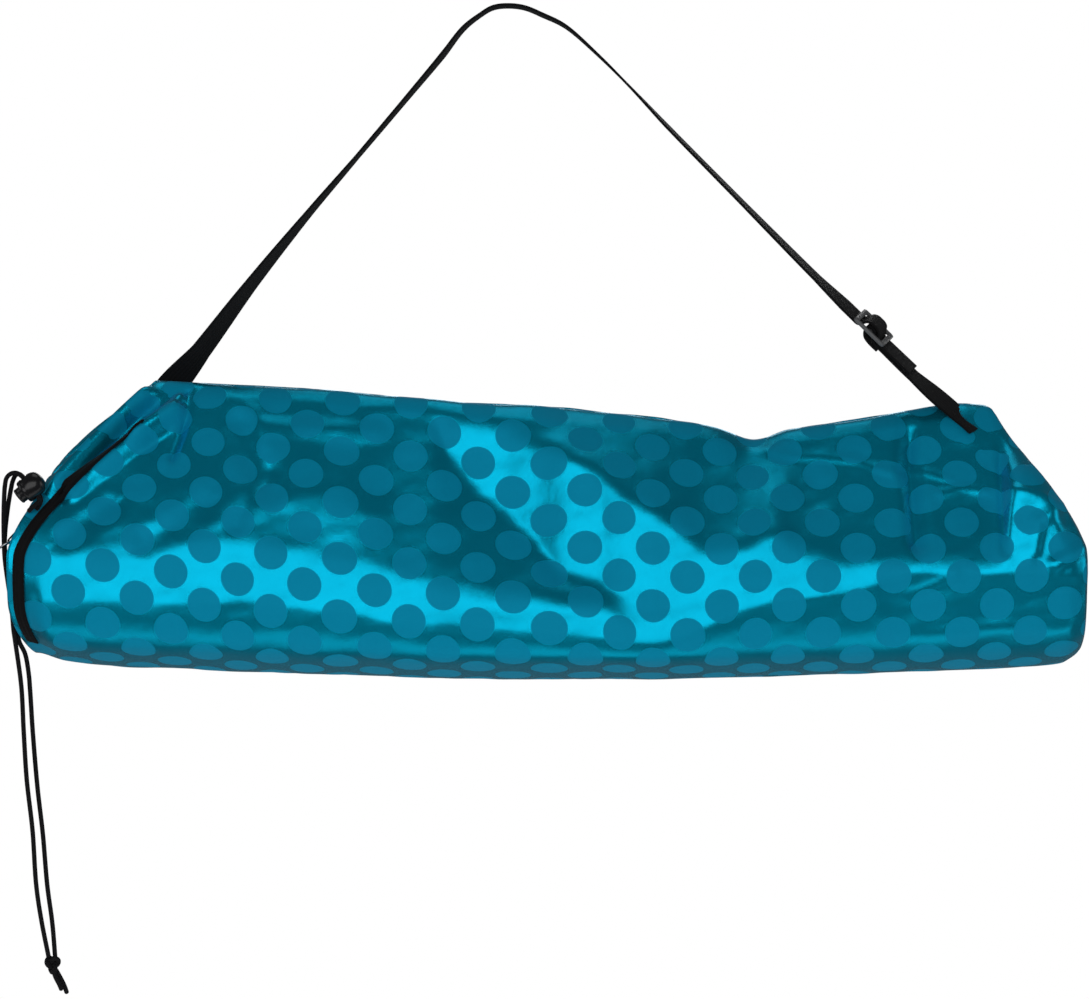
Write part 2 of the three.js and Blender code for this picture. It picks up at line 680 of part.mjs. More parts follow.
// The knot with its two tails, below where both strands end
function cordKnot() {
  const strandEnd = vec(...leftCordRoute[leftCordRoute.length - 1])
    .add(vec(...rightCordRoute[rightCordRoute.length - 1])).multiplyScalar(0.5);
  const centre = strandEnd.clone().add(vec(0.5, 0, -knotHeight / 2 - fitGap));
  const ball = new THREE.SphereGeometry(knotWidth / 2, 14, 9);
  ball.rotateX(Math.PI / 2).scale(1, 0.9, knotHeight / knotWidth).translate(centre.x, centre.y, centre.z);
  let solid = toSolid(ball);
  for (const [lean, length] of [[0.42, 0.85], [0.3, 1]]) {
    const start = centre.clone().add(vec(1, (length - 0.92) * 28, -knotHeight * 0.2));
    const finish = start.clone().add(vec(lean * knotTail, 0, -knotTail * length));
    const tail = new THREE.CylinderGeometry(cordDiameter / 2, cordDiameter / 2, start.distanceTo(finish), 8);
    const turn = new THREE.Quaternion().setFromUnitVectors(vec(0, 1, 0), start.clone().sub(finish).normalize());
    tail.applyQuaternion(turn).translate(...start.clone().add(finish).multiplyScalar(0.5).toArray());
    solid = solid.add(toSolid(tail));
  }
  return toGeometry(solid);
}

// The lock's own frame has +Z along the barrel, away from the button, and its origin at the slot,
// where both strands pass
const lockCentre = vec(...leftCordRoute[lockStop]).lerp(vec(...rightCordRoute[lockStop]), 0.5);

function placeAtLock(mesh) {
  mesh.position.copy(lockCentre);
  mesh.rotation.y = degrees(90 - lockTilt);
  return mesh;
}

const barrelFoot = -lockLength * 0.4;
const barrelHead = lockLength * 0.6;
const roofHalf = slotHeight / 2 - 0.2;
const stemTop = roofHalf + 1.5;

function box(width, depth, low, high) {
  return new THREE.BoxGeometry(width, depth, high - low).translate(0, 0, (low + high) / 2);
}

function rod(radius, low, high, sides) {
  return new THREE.CylinderGeometry(radius, radius, high - low, sides).rotateX(Math.PI / 2)
    .translate(0, 0, (low + high) / 2);
}

// The cords cross the barrel along its local X, side by side along Y
function lockBarrel() {
  const profile = [[0, barrelFoot], [0.8, barrelFoot], [0.95, barrelFoot + 1.6], [1, 0.5], [0.97, 3.4],
    [0.83, 6.2], [0.55, barrelHead - 0.9], [0.28, barrelHead], [0, barrelHead]];
  const turned = new THREE.LatheGeometry(
    profile.map(([radius, height]) => new THREE.Vector2(radius * lockRadius, height)), 20).rotateX(Math.PI / 2);
  const bore = rod(lockBore, barrelFoot - 1, stemTop + buttonTravel + 0.4, 16);
  const slot = box(4 * lockRadius, slotWidth, -slotHeight / 2, slotHeight / 2);
  return toGeometry(toSolid(turned).subtract(toSolid(bore)).subtract(toSolid(slot)));
}

function lockButton() {
  const head = rod(lockBore - 0.2, barrelFoot - buttonTravel - 1.4, barrelFoot - buttonTravel, 16);
  const stem = rod(lockBore - stemPlay, barrelFoot - buttonTravel - 0.1, stemTop, 16);
  const slot = box(4 * lockRadius, slotWidth, -roofHalf - buttonTravel, roofHalf);
  return toGeometry(toSolid(head).add(toSolid(stem)).subtract(toSolid(slot)));
}

// Ring that both strands pass through, drooping from the tab, beside the mouth
const ringCentre = vec(-mouthReach - ringClear, ringAside - rollRadius, bagFloor + rollRadius + ringRise);

function cordRing() {
  const ring = new THREE.TorusGeometry(ringInner + ringWire / 2, ringWire / 2, 6, 16);
  return ring;
}

function ringTab() {
  const bow = 0.4;
  const bend = ringWire / 2 + fitGap + bow + tabThick / 2;
  const reach = ringInner + ringWire / 2 - bow / 2;
  const hinge = ringCentre.clone().add(
    vec(reach * Math.cos(degrees(ringDroop)), 0, reach * Math.sin(degrees(ringDroop))));
  const lean = vec(0.68, 0, 0.73).normalize();
  const away = vec(-lean.z, 0, lean.x);
  const stops = [hinge.clone().addScaledVector(away, -bend).addScaledVector(lean, tabLength)];
  const turns = 6;
  for (let k = 0; k <= turns; k += 1) {
    const angle = Math.PI * k / turns;
    stops.push(hinge.clone().addScaledVector(away, -bend * Math.cos(angle))
      .addScaledVector(lean, -bend * Math.sin(angle)));
  }
  stops.push(hinge.clone().addScaledVector(away, bend).addScaledVector(lean, tabLength));
  const across = vec(0, 1, 0);
  const frames = stops.map((point, k) => {
    const before = stops[Math.max(0, k - 1)];
    const after = stops[Math.min(stops.length - 1, k + 1)];
    const ahead = after.clone().sub(before).normalize();
    return { point, across, out: across.clone().cross(ahead).normalize() };
  });
  return strip(frames, tabWidth, tabThick);
}

// The assembly
const yogaMatBag = new THREE.Group();

function addPiece(name, geometry, finish) {
  const mesh = new THREE.Mesh(geometry, new THREE.MeshStandardMaterial(finish));
  mesh.name = name;
  yogaMatBag.add(mesh);
  return mesh;
}

addPiece('bag_body', bagBody(), satin);
addPiece('end_panel', endPanel(), satin);
addPiece('mouth_cap', mouthCap(), satin);
addPiece('mouth_band_front', mouthBand(-1, 0.1), webbing);
addPiece('mouth_band_back', mouthBand(1, 0.3), webbing);
addPiece('strap_long', strapLong(), webbing);
addPiece('strap_anchor', strapAnchor(), webbing);
const slider = addPiece('strap_slider', strapSlider(), greyPlastic);
slider.position.copy(sliderFrame.middle);
slider.quaternion.setFromRotationMatrix(
  new THREE.Matrix4().makeBasis(sliderFrame.ahead, sliderFrame.across, sliderFrame.ahead.clone()
    .cross(sliderFrame.across)));
addPiece('drawcord_left', cordTube(leftCordRoute), webbing);
addPiece('drawcord_right', cordTube(rightCordRoute), webbing);
addPiece('cord_knot', cordKnot(), webbing);
placeAtLock(addPiece('lock_barrel', lockBarrel(), blackPlastic));
placeAtLock(addPiece('lock_button', lockButton(), blackPlastic));
const ring = addPiece('cord_ring', cordRing(), brightSteel);
ring.position.copy(ringCentre);
ring.rotation.y = degrees(-ringDroop);
addPiece('ring_tab', ringTab(), webbing);

export default yogaMatBag;
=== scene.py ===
import math
import bmesh
import bpy
import numpy as np
from mathutils import Matrix, Vector, noise
from mathutils.bvhtree import BVHTree


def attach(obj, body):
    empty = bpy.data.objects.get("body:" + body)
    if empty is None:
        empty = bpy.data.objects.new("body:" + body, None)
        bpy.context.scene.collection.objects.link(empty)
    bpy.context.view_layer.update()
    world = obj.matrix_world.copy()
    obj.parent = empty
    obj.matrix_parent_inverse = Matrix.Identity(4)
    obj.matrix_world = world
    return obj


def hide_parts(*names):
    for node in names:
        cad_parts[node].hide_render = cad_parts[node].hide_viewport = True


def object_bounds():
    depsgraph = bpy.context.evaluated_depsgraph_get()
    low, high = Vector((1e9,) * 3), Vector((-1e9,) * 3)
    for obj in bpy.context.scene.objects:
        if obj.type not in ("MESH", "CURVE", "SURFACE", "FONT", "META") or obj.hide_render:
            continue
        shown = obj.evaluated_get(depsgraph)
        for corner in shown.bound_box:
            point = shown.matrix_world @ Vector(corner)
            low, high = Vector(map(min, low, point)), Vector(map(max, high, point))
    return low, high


# Yoga mat bag hanging from its strap. Metres, +X to the closed end, -Y to the viewer, +Z up.
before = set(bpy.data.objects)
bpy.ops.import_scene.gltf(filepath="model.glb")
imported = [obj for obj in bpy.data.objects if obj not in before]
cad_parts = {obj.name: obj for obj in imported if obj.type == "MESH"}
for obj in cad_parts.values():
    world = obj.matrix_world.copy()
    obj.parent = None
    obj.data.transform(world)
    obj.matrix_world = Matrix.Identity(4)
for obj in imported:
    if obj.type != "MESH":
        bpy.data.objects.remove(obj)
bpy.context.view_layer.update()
mm = 0.001
scene = bpy.context.scene


# Camera, floor and light

studio = {
    "lens": 150,
    "sensor": 36,
    "viewWidth": 0.697,
    "lookAt": (0.0234, -0.03, -0.3184),
    "floorDrop": 0.30,
    "floorRadius": 1.3,
    "floorGlow": 0.45,
    "skyToCamera": 1.0,
    "skyToBag": 0.085,
    "boxes": [                                 # name, place, size, power, aim
        ("frontBox", (-0.3, -2.4, 0.05), (2.8, 1.8), 21, (0.0234, -0.03, -0.3184)),
        ("topBox", (0.0, 0.2, 1.6), (1.2, 1.2), 3, (0.0234, -0.03, -0.3184)),
        ("backBox", (0.3, 2.4, 0.6), (1.4, 1.0), 8, (0.0234, -0.03, -0.3184)),
        ("leftBox", (-2.2, -0.4, 0.0), (1.0, 1.4), 4, (0.0234, -0.03, -0.3184)),
        ("rightBox", (2.2, -0.4, 0.0), (1.0, 1.4), 4, (0.0234, -0.03, -0.3184)),
        ("underBox", (0.02, -0.3, -0.9), (1.7, 0.3), 0.9, (0.02, -0.02, -0.43)),
    ],
}


def makeStudio():
    eye = Vector(studio["lookAt"])
    eye.y -= studio["lens"] / studio["sensor"] * studio["viewWidth"]
    data = bpy.data.cameras.new("camera")
    data.lens = studio["lens"]
    data.sensor_width = studio["sensor"]
    data.clip_end = 50
    camera = bpy.data.objects.new("camera", data)
    camera.location = eye
    camera.rotation_euler = (math.pi / 2, 0, 0)
    scene.collection.objects.link(camera)
    scene.camera = camera

    for name, place, size, power, aim in studio["boxes"]:
        light = bpy.data.lights.new(name, "AREA")
        light.shape = "RECTANGLE"
        light.size, light.size_y = size
        light.energy = power
        box = bpy.data.objects.new(name, light)
        box.location = place
        box.visible_camera = False
        box.rotation_euler = (Vector(aim) - Vector(place)).to_track_quat("-Z", "Y").to_euler()
        scene.collection.objects.link(box)

    world = bpy.data.worlds.new("studioSky")
    scene.world = world
    world.use_nodes = True
    tree = world.node_tree
    tree.nodes.clear()
    rays = tree.nodes.new("ShaderNodeLightPath")
    toCamera = tree.nodes.new("ShaderNodeBackground")
    toBag = tree.nodes.new("ShaderNodeBackground")
    choose = tree.nodes.new("ShaderNodeMixShader")
    out = tree.nodes.new("ShaderNodeOutputWorld")
    toCamera.inputs["Color"].default_value = (1, 1, 1, 1)
    toCamera.inputs["Strength"].default_value = studio["skyToCamera"]
    toBag.inputs["Color"].default_value = (0.93, 0.97, 1, 1)
    toBag.inputs["Strength"].default_value = studio["skyToBag"]
    tree.links.new(rays.outputs["Is Camera Ray"], choose.inputs[0])
    tree.links.new(toBag.outputs[0], choose.inputs[1])
    tree.links.new(toCamera.outputs[0], choose.inputs[2])
    tree.links.new(choose.outputs[0], out.inputs[0])
    scene.view_settings.view_transform = "Standard"


makeStudio()
print("camera and light")


# Shader sums: a Wire is a node socket that works in Python expressions

class Wire:
    def __init__(self, paint, socket):
        self.paint = paint
        self.socket = socket

    def maths(self, operation, *values):
        return self.paint.node("Math", {"operation": operation}, dict(enumerate(values)))

    def __add__(self, other):
        return self.maths("ADD", self, other)

    def __radd__(self, other):
        return self.maths("ADD", other, self)

    def __sub__(self, other):
        return self.maths("SUBTRACT", self, other)

    def __rsub__(self, other):
        return self.maths("SUBTRACT", other, self)

    def __mul__(self, other):
        return self.maths("MULTIPLY", self, other)

    def __rmul__(self, other):
        return self.maths("MULTIPLY", other, self)

    def __truediv__(self, other):
        return self.maths("DIVIDE", self, other)

    def __pow__(self, other):
        return self.maths("POWER", self, other)

    def wave(self, period):                    # 0 to 1 and back once in a period
        return self.maths("SINE", self * (2 * math.pi / period)) * 0.5 + 0.5

    def fold(self, period):                    # distance to the nearest whole period
        return self.maths("PINGPONG", self, period / 2)

    def least(self, other):
        return self.maths("MINIMUM", self, other)

    def most(self, other):
        return self.maths("MAXIMUM", self, other)

    def under(self, edge, soft):               # 1 below the edge, 0 above, with a soft step
        return self.paint.node("Math", {"operation": "MULTIPLY_ADD", "use_clamp": True},
                               {0: self, 1: -1 / soft, 2: edge / soft + 0.5})


class Paint:
    def __init__(self, name):
        self.material = bpy.data.materials.new(name)
        self.material.use_nodes = True
        self.tree = self.material.node_tree
        self.tree.nodes.clear()
        self.surface = self.tree.nodes.new("ShaderNodeBsdfPrincipled")
        out = self.tree.nodes.new("ShaderNodeOutputMaterial")
        self.tree.links.new(self.surface.outputs[0], out.inputs[0])

    def node(self, kind, settings, values, output=0):
        node = self.tree.nodes.new("ShaderNode" + kind)
        for key, value in settings.items():
            setattr(node, key, value)
        for key, value in values.items():
            self.feed(node.inputs[key], value)
        return Wire(self, node.outputs[output])

    def feed(self, socket, value):
        if isinstance(value, Wire):
            self.tree.links.new(value.socket, socket)
        elif socket.type == "RGBA" and len(value) == 3:
            socket.default_value = (*value, 1)
        else:
            socket.default_value = value

    def cloth(self):                           # along and across the cloth, in metres
        where = self.node("UVMap", {"uv_map": "cloth"}, {})
        split = self.node("SeparateXYZ", {}, {0: where})
        return where, split, Wire(self, split.socket.node.outputs[1])

    def place(self):
        return self.node("TexCoord", {}, {}, "Object")

    def noise(self, where, scale, detail=2, rough=0.5, stretch=None):
        if stretch:
            where = self.node("Mapping", {}, {"Vector": where, "Scale": stretch})
        return self.node("TexNoise", {}, {"Vector": where, "Scale": scale, "Detail": detail,
                                          "Roughness": rough})

    def mix(self, share, first, second):
        return self.node("Mix", {"data_type": "RGBA"}, {0: share, 6: first, 7: second}, 2)

    def bump(self, height, distance, strength=1, under=None):
        values = {"Height": height, "Distance": distance, "Strength": strength}
        if under:
            values["Normal"] = under
        return self.node("Bump", {}, values)

    def finish(self, **sockets):
        for key, value in sockets.items():
            words = "".join(" " + c if c.isupper() else c for c in key)
            self.feed(self.surface.inputs[(words[0].upper() + words[1:])], value)
        return self.material


# Finishes

satin = {
    "shine": (0.0, 0.53, 0.80),
    "shade": (0.0, 0.40, 0.62),
    "dot": (0.0, 0.38, 0.62),
    "metal": 0.8,
    "roughness": 0.27,
    "dotRoughness": 0.62,
    "dotMetal": 0.42,
    "dotRadius": 10.6 * mm,
    "dotPitch": 42.6 * mm,
    "dotRows": 18.4 * mm,
    "thread": 0.45 * mm,
    "sheen": 0.06,
    "specular": 0.12,
}


def satinDots(name, dotted=True):
    paint = Paint(name)
    where, along, around = paint.cloth()
    if dotted:
        pitch, rows = satin["dotPitch"], satin["dotRows"]
        nearAlong = along.fold(pitch)
        nearAround = around.fold(rows * 2)
        first = nearAlong ** 2 + nearAround ** 2
        second = (pitch / 2 - nearAlong) ** 2 + (rows - nearAround) ** 2
        away = first.least(second) ** 0.5
        dots = away.under(satin["dotRadius"], 0.5 * mm)
    else:
        dots = 0.0
    slub = paint.noise(where, 900, 3, 0.6, (1, 6, 1))
    cloudy = paint.noise(where, 22, 3)
    ground = paint.mix(cloudy, satin["shade"], satin["shine"])
    colour = paint.mix(dots, ground, satin["dot"])
    weave = along.wave(satin["thread"]) * around.wave(satin["thread"] * 0.8)
    height = slub * 0.6 + weave * 0.4
    crumple = paint.noise(where, 60, 4, 0.55, (1, 0.6, 1))
    soft = paint.bump(crumple, 1.6 * mm, 0.35)
    fine = paint.bump(height, 0.12 * mm, 0.35, soft)
    metal = dots * (satin["dotMetal"] - satin["metal"]) + satin["metal"] if dotted else satin["metal"]
    rough = dots * (satin["dotRoughness"] - satin["roughness"]) + satin["roughness"] if dotted \
        else satin["roughness"]
    paint.surface.inputs["Sheen Weight"].default_value = satin["sheen"]
    paint.surface.inputs["Sheen Roughness"].default_value = 0.4
    paint.surface.inputs["Sheen Tint"].default_value = (0.75, 0.9, 1, 1)
    paint.surface.inputs["Specular IOR Level"].default_value = satin["specular"]
    return paint.finish(baseColor=colour, metallic=metal, roughness=rough, normal=fine)


def wovenTape(name, width, tone):
    paint = Paint(name)
    where, along, across = paint.cloth()
    ribs = (along + across.fold(2.6 * mm) * 1.2).wave(1.3 * mm)
    cords = across.wave(2.6 * mm)
    fuzz = paint.noise(where, 1500, 2)
    height = ribs * 0.5 + cords * 0.35 + fuzz * 0.3
    edge = across.maths("ABSOLUTE", across).under(width / 2 - 1.6 * mm, 0.4 * mm)
    # painted shade and highlight: the weave's grooves are painted darker and its raised ribs lighter,
    # following the same relief as the bump, with random fibre tone from the fuzz
    light = paint.mix(height, tuple(c * 0.55 for c in tone), tuple(c * 1.7 for c in tone))
    colour = paint.mix(edge, tuple(c * 0.8 for c in tone), light)
    paint.surface.inputs["Sheen Weight"].default_value = 0.05
    paint.surface.inputs["Sheen Roughness"].default_value = 0.5
    paint.surface.inputs["Specular IOR Level"].default_value = 0.15
    return paint.finish(baseColor=colour, roughness=0.72 - fuzz * 0.1,
                        normal=paint.bump(height, 0.35 * mm, 0.8))


def braidedCord(name, tone):
    paint = Paint(name)
    where, along, around = paint.cloth()
    lay = 2.4 * mm
    strands = (along + around).wave(lay).most((along - around).wave(lay))
    fuzz = paint.noise(where, 2500, 2)
    height = strands * 0.8 + fuzz * 0.2
    # painted shade and highlight: the hollows between the braid's strands are painted darker and the strands'
    # crowns lighter, following the bump's relief, with random fibre tone from the fuzz
    colour = paint.mix(height, tuple(c * 0.4 for c in tone), tuple(c * 1.8 for c in tone))
    paint.surface.inputs["Sheen Weight"].default_value = 0.05
    paint.surface.inputs["Specular IOR Level"].default_value = 0.15
    return paint.finish(baseColor=colour, roughness=0.7 - fuzz * 0.1,
                        normal=paint.bump(height, 0.4 * mm, 0.8))


def mouldedPlastic(name, tone, roughness, grain):
    paint = Paint(name)
    where = paint.place()
    speck = paint.noise(where, 2200, 2)
    smear = paint.noise(where, 140, 3)
    colour = paint.mix(smear, tone, tuple(c * 1.25 for c in tone))
    return paint.finish(baseColor=colour, roughness=smear * 0.12 + roughness,
                        normal=paint.bump(speck, grain, 0.4))


def polishedSteel(name):
    paint = Paint(name)
    where = paint.place()
    scuff = paint.noise(where, 700, 3, 0.6, (1, 1, 8))
    colour = paint.mix(scuff, (0.62, 0.63, 0.65), (0.8, 0.81, 0.83))
    paint.surface.inputs["Metallic"].default_value = 1
    return paint.finish(baseColor=colour, roughness=scuff * 0.15 + 0.18,
                        normal=paint.bump(scuff, 0.05 * mm, 0.3))


def paleFloor():
    paint = Paint("paleFloor")
    where = paint.place()
    split = paint.node("SeparateXYZ", {}, {0: where})
    along, across = split, Wire(paint, split.socket.node.outputs[1])
    out = (along ** 2 + across ** 2) ** 0.5
    tone = paint.mix(paint.noise(where, 3), (0.86, 0.86, 0.86), (0.9, 0.9, 0.9))
    fade = out.under(studio["floorRadius"] * 0.7, studio["floorRadius"] * 0.5)
    return paint.finish(baseColor=tone, roughness=0.9, alpha=fade, emissionColor=tone,
                        emissionStrength=studio["floorGlow"])


bagCloth = satinDots("satinDots")
plainCloth = satinDots("satinPlain", dotted=False)
webbingFinish = wovenTape("blackWebbing", 20 * mm, (0.005, 0.005, 0.006))
tapeFinish = wovenTape("blackTape", 7 * mm, (0.004, 0.004, 0.005))
cordFinish = braidedCord("blackCord", (0.005, 0.005, 0.006))
threadFinish = braidedCord("blackThread", (0.016, 0.016, 0.019))
lockFinish = mouldedPlastic("blackPlastic", (0.008, 0.008, 0.009), 0.16, 0.01 * mm)
sliderFinish = mouldedPlastic("greyPlastic", (0.12, 0.122, 0.126), 0.34, 0.03 * mm)
steelFinish = polishedSteel("brightSteel")
print("finishes")


# Mesh helpers

def easeIn(value):
    value = np.clip(value, 0, 1)
    return value * value * (3 - 2 * value)


def fromMesh(name, mesh, material, smooth=True):
    data = bpy.data.meshes.new(name)
    mesh.to_mesh(data)
    mesh.free()
    for face in data.polygons:
        face.use_smooth = smooth
    data.materials.append(material)
    piece = bpy.data.objects.new(name, data)
    scene.collection.objects.link(piece)
    return piece


def gridPiece(name, steps, place, material, wrap=False, flip=False):
    mesh = bmesh.new()                         # a flat grid that place bends to its shape
    bmesh.ops.create_grid(mesh, x_segments=steps[0], y_segments=steps[1], size=0.5)
    flat = np.array([(v.co.x + 0.5, v.co.y + 0.5) for v in mesh.verts])
    points, cloth = place(flat[:, 0], flat[:, 1])
    for v, point in zip(mesh.verts, points):
        v.co = point
    layer = mesh.loops.layers.uv.new("cloth")
    for face in mesh.faces:
        for loop in face.loops:
            loop[layer].uv = cloth[loop.vert.index]
    if flip:
        bmesh.ops.reverse_faces(mesh, faces=mesh.faces)
    if wrap:
        bmesh.ops.remove_doubles(mesh, verts=mesh.verts, dist=0.01 * mm)
    return fromMesh(name, mesh, material)


def addModifier(piece, kind, **settings):
    modifier = piece.modifiers.new(kind.lower(), kind)
    for key, value in settings.items():
        setattr(modifier, key, value)
    return modifier


def readRows(rows, column, place):             # smooth curve through a column of a table
    at, value = rows[:, 0], rows[:, column]
    place = np.asarray(place, float)
    k = np.clip(np.searchsorted(at, place) - 1, 0, len(at) - 2)
    span = at[k + 1] - at[k]
    t = np.clip((place - at[k]) / span, 0, 1)
    before, after = np.maximum(k - 1, 0), np.minimum(k + 2, len(at) - 1)
    startSlope = np.where(k > 0, (value[k + 1] - value[before]) / (at[k + 1] - at[before]) * span, 0)
    endSlope = np.where(k < len(at) - 2, (value[after] - value[k]) / (at[after] - at[k]) * span, 0)
    return value[k] * (2 * t ** 3 - 3 * t ** 2 + 1) + startSlope * (t ** 3 - 2 * t ** 2 + t) \
        + value[k + 1] * (3 * t ** 2 - 2 * t ** 3) + endSlope * (t ** 3 - t ** 2)


def walkedLengths(line):
    return np.concatenate([[0], np.cumsum(np.linalg.norm(np.diff(line, axis=0), axis=1))])


def directions(line):
    ahead = np.gradient(line, axis=0)
    return ahead / np.linalg.norm(ahead, axis=1)[:, None]


def curveThrough(stops, count):                # even stations on a smooth curve through stops
    stops = [Vector(stop) for stop in stops]
    ends = [2 * stops[0] - stops[1], *stops, 2 * stops[-1] - stops[-2]]
    dense = []
    for p0, p1, p2, p3 in zip(ends, ends[1:], ends[2:], ends[3:]):
        d1, d2, d3 = ((b - a).length ** 0.5 + 1e-9 for a, b in ((p0, p1), (p1, p2), (p2, p3)))
        m1 = ((p1 - p0) / d1 - (p2 - p0) / (d1 + d2) + (p2 - p1) / d2) * d2
        m2 = ((p2 - p1) / d2 - (p3 - p1) / (d2 + d3) + (p3 - p2) / d3) * d2
        for k in range(24):
            t = k / 24
            dense.append(p1 * (2 * t ** 3 - 3 * t ** 2 + 1) + m1 * (t ** 3 - 2 * t ** 2 + t)
                         + p2 * (3 * t ** 2 - 2 * t ** 3) + m2 * (t ** 3 - t ** 2))
    dense.append(stops[-1])
    line = np.array([tuple(p) for p in dense])
    walked = walkedLengths(line)
    even = np.linspace(0, walked[-1], count)
    return np.stack([np.interp(even, walked, line[:, k]) for k in range(3)], axis=1), walked[-1]


def turningFrames(line):                       # two directions across a line, turning as little as can be
    ahead = directions(line)
    first = Vector(ahead[0]).orthogonal().normalized()
    sides = []
    for way in ahead:
        way = Vector(way)
        first = (first - way * first.dot(way)).normalized()
        sides.append((tuple(first), tuple(way.cross(first))))
    return np.array([s[0] for s in sides]), np.array([s[1] for s in sides])


def tubePiece(name, line, radius, material, sides=12, closed=True):
    walked = walkedLengths(line)
    one, two = turningFrames(line)
    radii = np.broadcast_to(radius, len(line))

    def place(around, along):
        k = np.rint(along * (len(line) - 1)).astype(int)
        angle = around * 2 * math.pi
        out = one[k] * np.cos(angle)[:, None] + two[k] * np.sin(angle)[:, None]
        reach = radii[k][:, None]
        return line[k] + out * reach, np.stack([walked[k], around * 2 * math.pi * radii[k]], axis=1)

    piece = gridPiece(name, (sides, len(line) - 1), place, material, wrap=True)
    if closed:
        mesh = bmesh.new()
        mesh.from_mesh(piece.data)
        bmesh.ops.holes_fill(mesh, edges=[e for e in mesh.edges if e.is_boundary])
        bmesh.ops.recalc_face_normals(mesh, faces=mesh.faces)
        mesh.to_mesh(piece.data)
        mesh.free()
    return piece


# Drawcord: two strands from the hem through the lock and the ring, down to the knot

drawcord = {
    "diameter": 3 * mm,
    "steps": 260,
    "carries": ["lock_barrel_shell", "lock_button_cap", "knot_turns", "knot_tail_0", "knot_tail_1"],
    "left": [
        (-304.2, -50.8, -325.6), (-301.6, -54.1, -323.2), (-297.2, -55.0, -319.0), (-302.7, -54.7, -310.4),
        (-307.6, -54.7, -304.4), (-311.2, -54.5, -301.7), (-315.0, -54.0, -301.9), (-318.0, -53.3, -304.5),
        (-319.2, -52.4, -309.0), (-320.0, -50.8, -318.0), (-320.5, -49.0, -332.0), (-320.4, -47.7, -347.0),
        (-320.0, -47.1, -356.0), (-318.6, -46.2, -368.0), (-317.0, -44.0, -380.0), (-316.2, -39.0, -392.0),
        (-316.0, -33.5, -402.0), (-315.2, -30.5, -410.0), (-311.6, -29.0, -437.8), (-310.1, -28.5, -467.0),
        (-308.2, -28.0, -498.0), (-304.6, -27.5, -530.0), (-302.2, -27.0, -566.0), (-299.0, -26.6, -588.0),
        (-294.4, -26.2, -611.5),
    ],
    "right": [
        (-299.7, -50.4, -324.8), (-297.3, -50.9, -321.2), (-296.6, -51.2, -317.6), (-302.7, -51.3, -310.4),
        (-307.6, -51.3, -304.4), (-310.4, -50.0, -302.2), (-313.0, -47.6, -302.9), (-315.0, -45.9, -306.4),
        (-316.4, -44.9, -312.0), (-318.4, -44.5, -324.0), (-320.0, -44.3, -338.0), (-320.4, -44.3, -347.0),
        (-319.8, -43.8, -356.0), (-318.0, -42.6, -368.0), (-316.0, -40.4, -380.0), (-314.8, -35.4, -392.0),
        (-313.8, -30.0, -403.0), (-312.9, -28.5, -409.5), (-309.4, -27.6, -417.0), (-307.2, -27.0, -429.0),
        (-306.2, -26.6, -441.0), (-304.6, -26.0, -467.0), (-301.6, -25.6, -503.0), (-298.2, -25.2, -533.0),
        (-295.4, -24.8, -566.0), (-292.2, -24.7, -590.0), (-290.4, -24.6, -611.5),
    ],
}


def makeDrawcords():
    for side in ("left", "right"):
        stops = [Vector(stop) * mm for stop in drawcord[side]]
        line, length = curveThrough(stops, drawcord["steps"])
        cord = tubePiece("drawcord_" + side + "_braid", line, drawcord["diameter"] / 2, cordFinish)
        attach(cord, "root")
        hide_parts("drawcord_" + side)
        print("drawcord", side, round(length, 4))


# Cord lock: a barrel with a spring button, and both strands through it from side to side

lock = {
    "centre": (-302.7 * mm, -53 * mm, -310.4 * mm),
    "tilt": 39,
    "radius": 8.2 * mm,
    "bore": 5.5 * mm,
    "boreEnds": (-3.6 * mm, 6.9 * mm),
    "play": 0.2 * mm,
    "travel": 3 * mm,
    "slot": (7.4 * mm, 5.4 * mm),
    "profile": [                               # share of the radius, height in mm
        (0.671, -3.6), (0.671, -5.7), (0.7, -6.05), (0.76, -6.2), (0.84, -6.1), (0.9, -5.7), (0.935, -5.0),
        (0.955, -4.2), (0.95, -3.7), (0.965, -3.2), (0.99, -1.8), (1, 0.2), (0.99, 2.2), (0.955, 4.0),
        (0.885, 5.7), (0.78, 7.1), (0.62, 8.3), (0.44, 9.0), (0.22, 9.27), (0, 9.3),
    ],
    "buttonProfile": [
        (0, -10.6), (3.2, -10.55), (4.5, -10.3), (5.0, -9.9), (5.2, -9.4), (5.15, -9.05), (5.0, -8.8),
        (5.0, -8.4), (5.1, -8.2), (5.1, 3.6), (4.8, 3.7), (0, 3.7),
    ],
}


def atLock():
    return Matrix.Translation(lock["centre"]) @ Matrix.Rotation(math.radians(90 - lock["tilt"]), 4, "Y")


def turnedPiece(name, profile, material):
    mesh = bmesh.new()                         # a profile turned about Z
    verts = [mesh.verts.new((radius, 0, height)) for radius, height in profile]
    edges = [mesh.edges.new(pair) for pair in zip(verts, verts[1:])]
    bmesh.ops.spin(mesh, geom=verts + edges, cent=(0, 0, 0), axis=(0, 0, 1), dvec=(0, 0, 0),
                   angle=2 * math.pi, steps=56, use_merge=True)
    bmesh.ops.remove_doubles(mesh, verts=mesh.verts, dist=0.005 * mm)
    bmesh.ops.recalc_face_normals(mesh, faces=mesh.faces)
    return fromMesh(name, mesh, material)


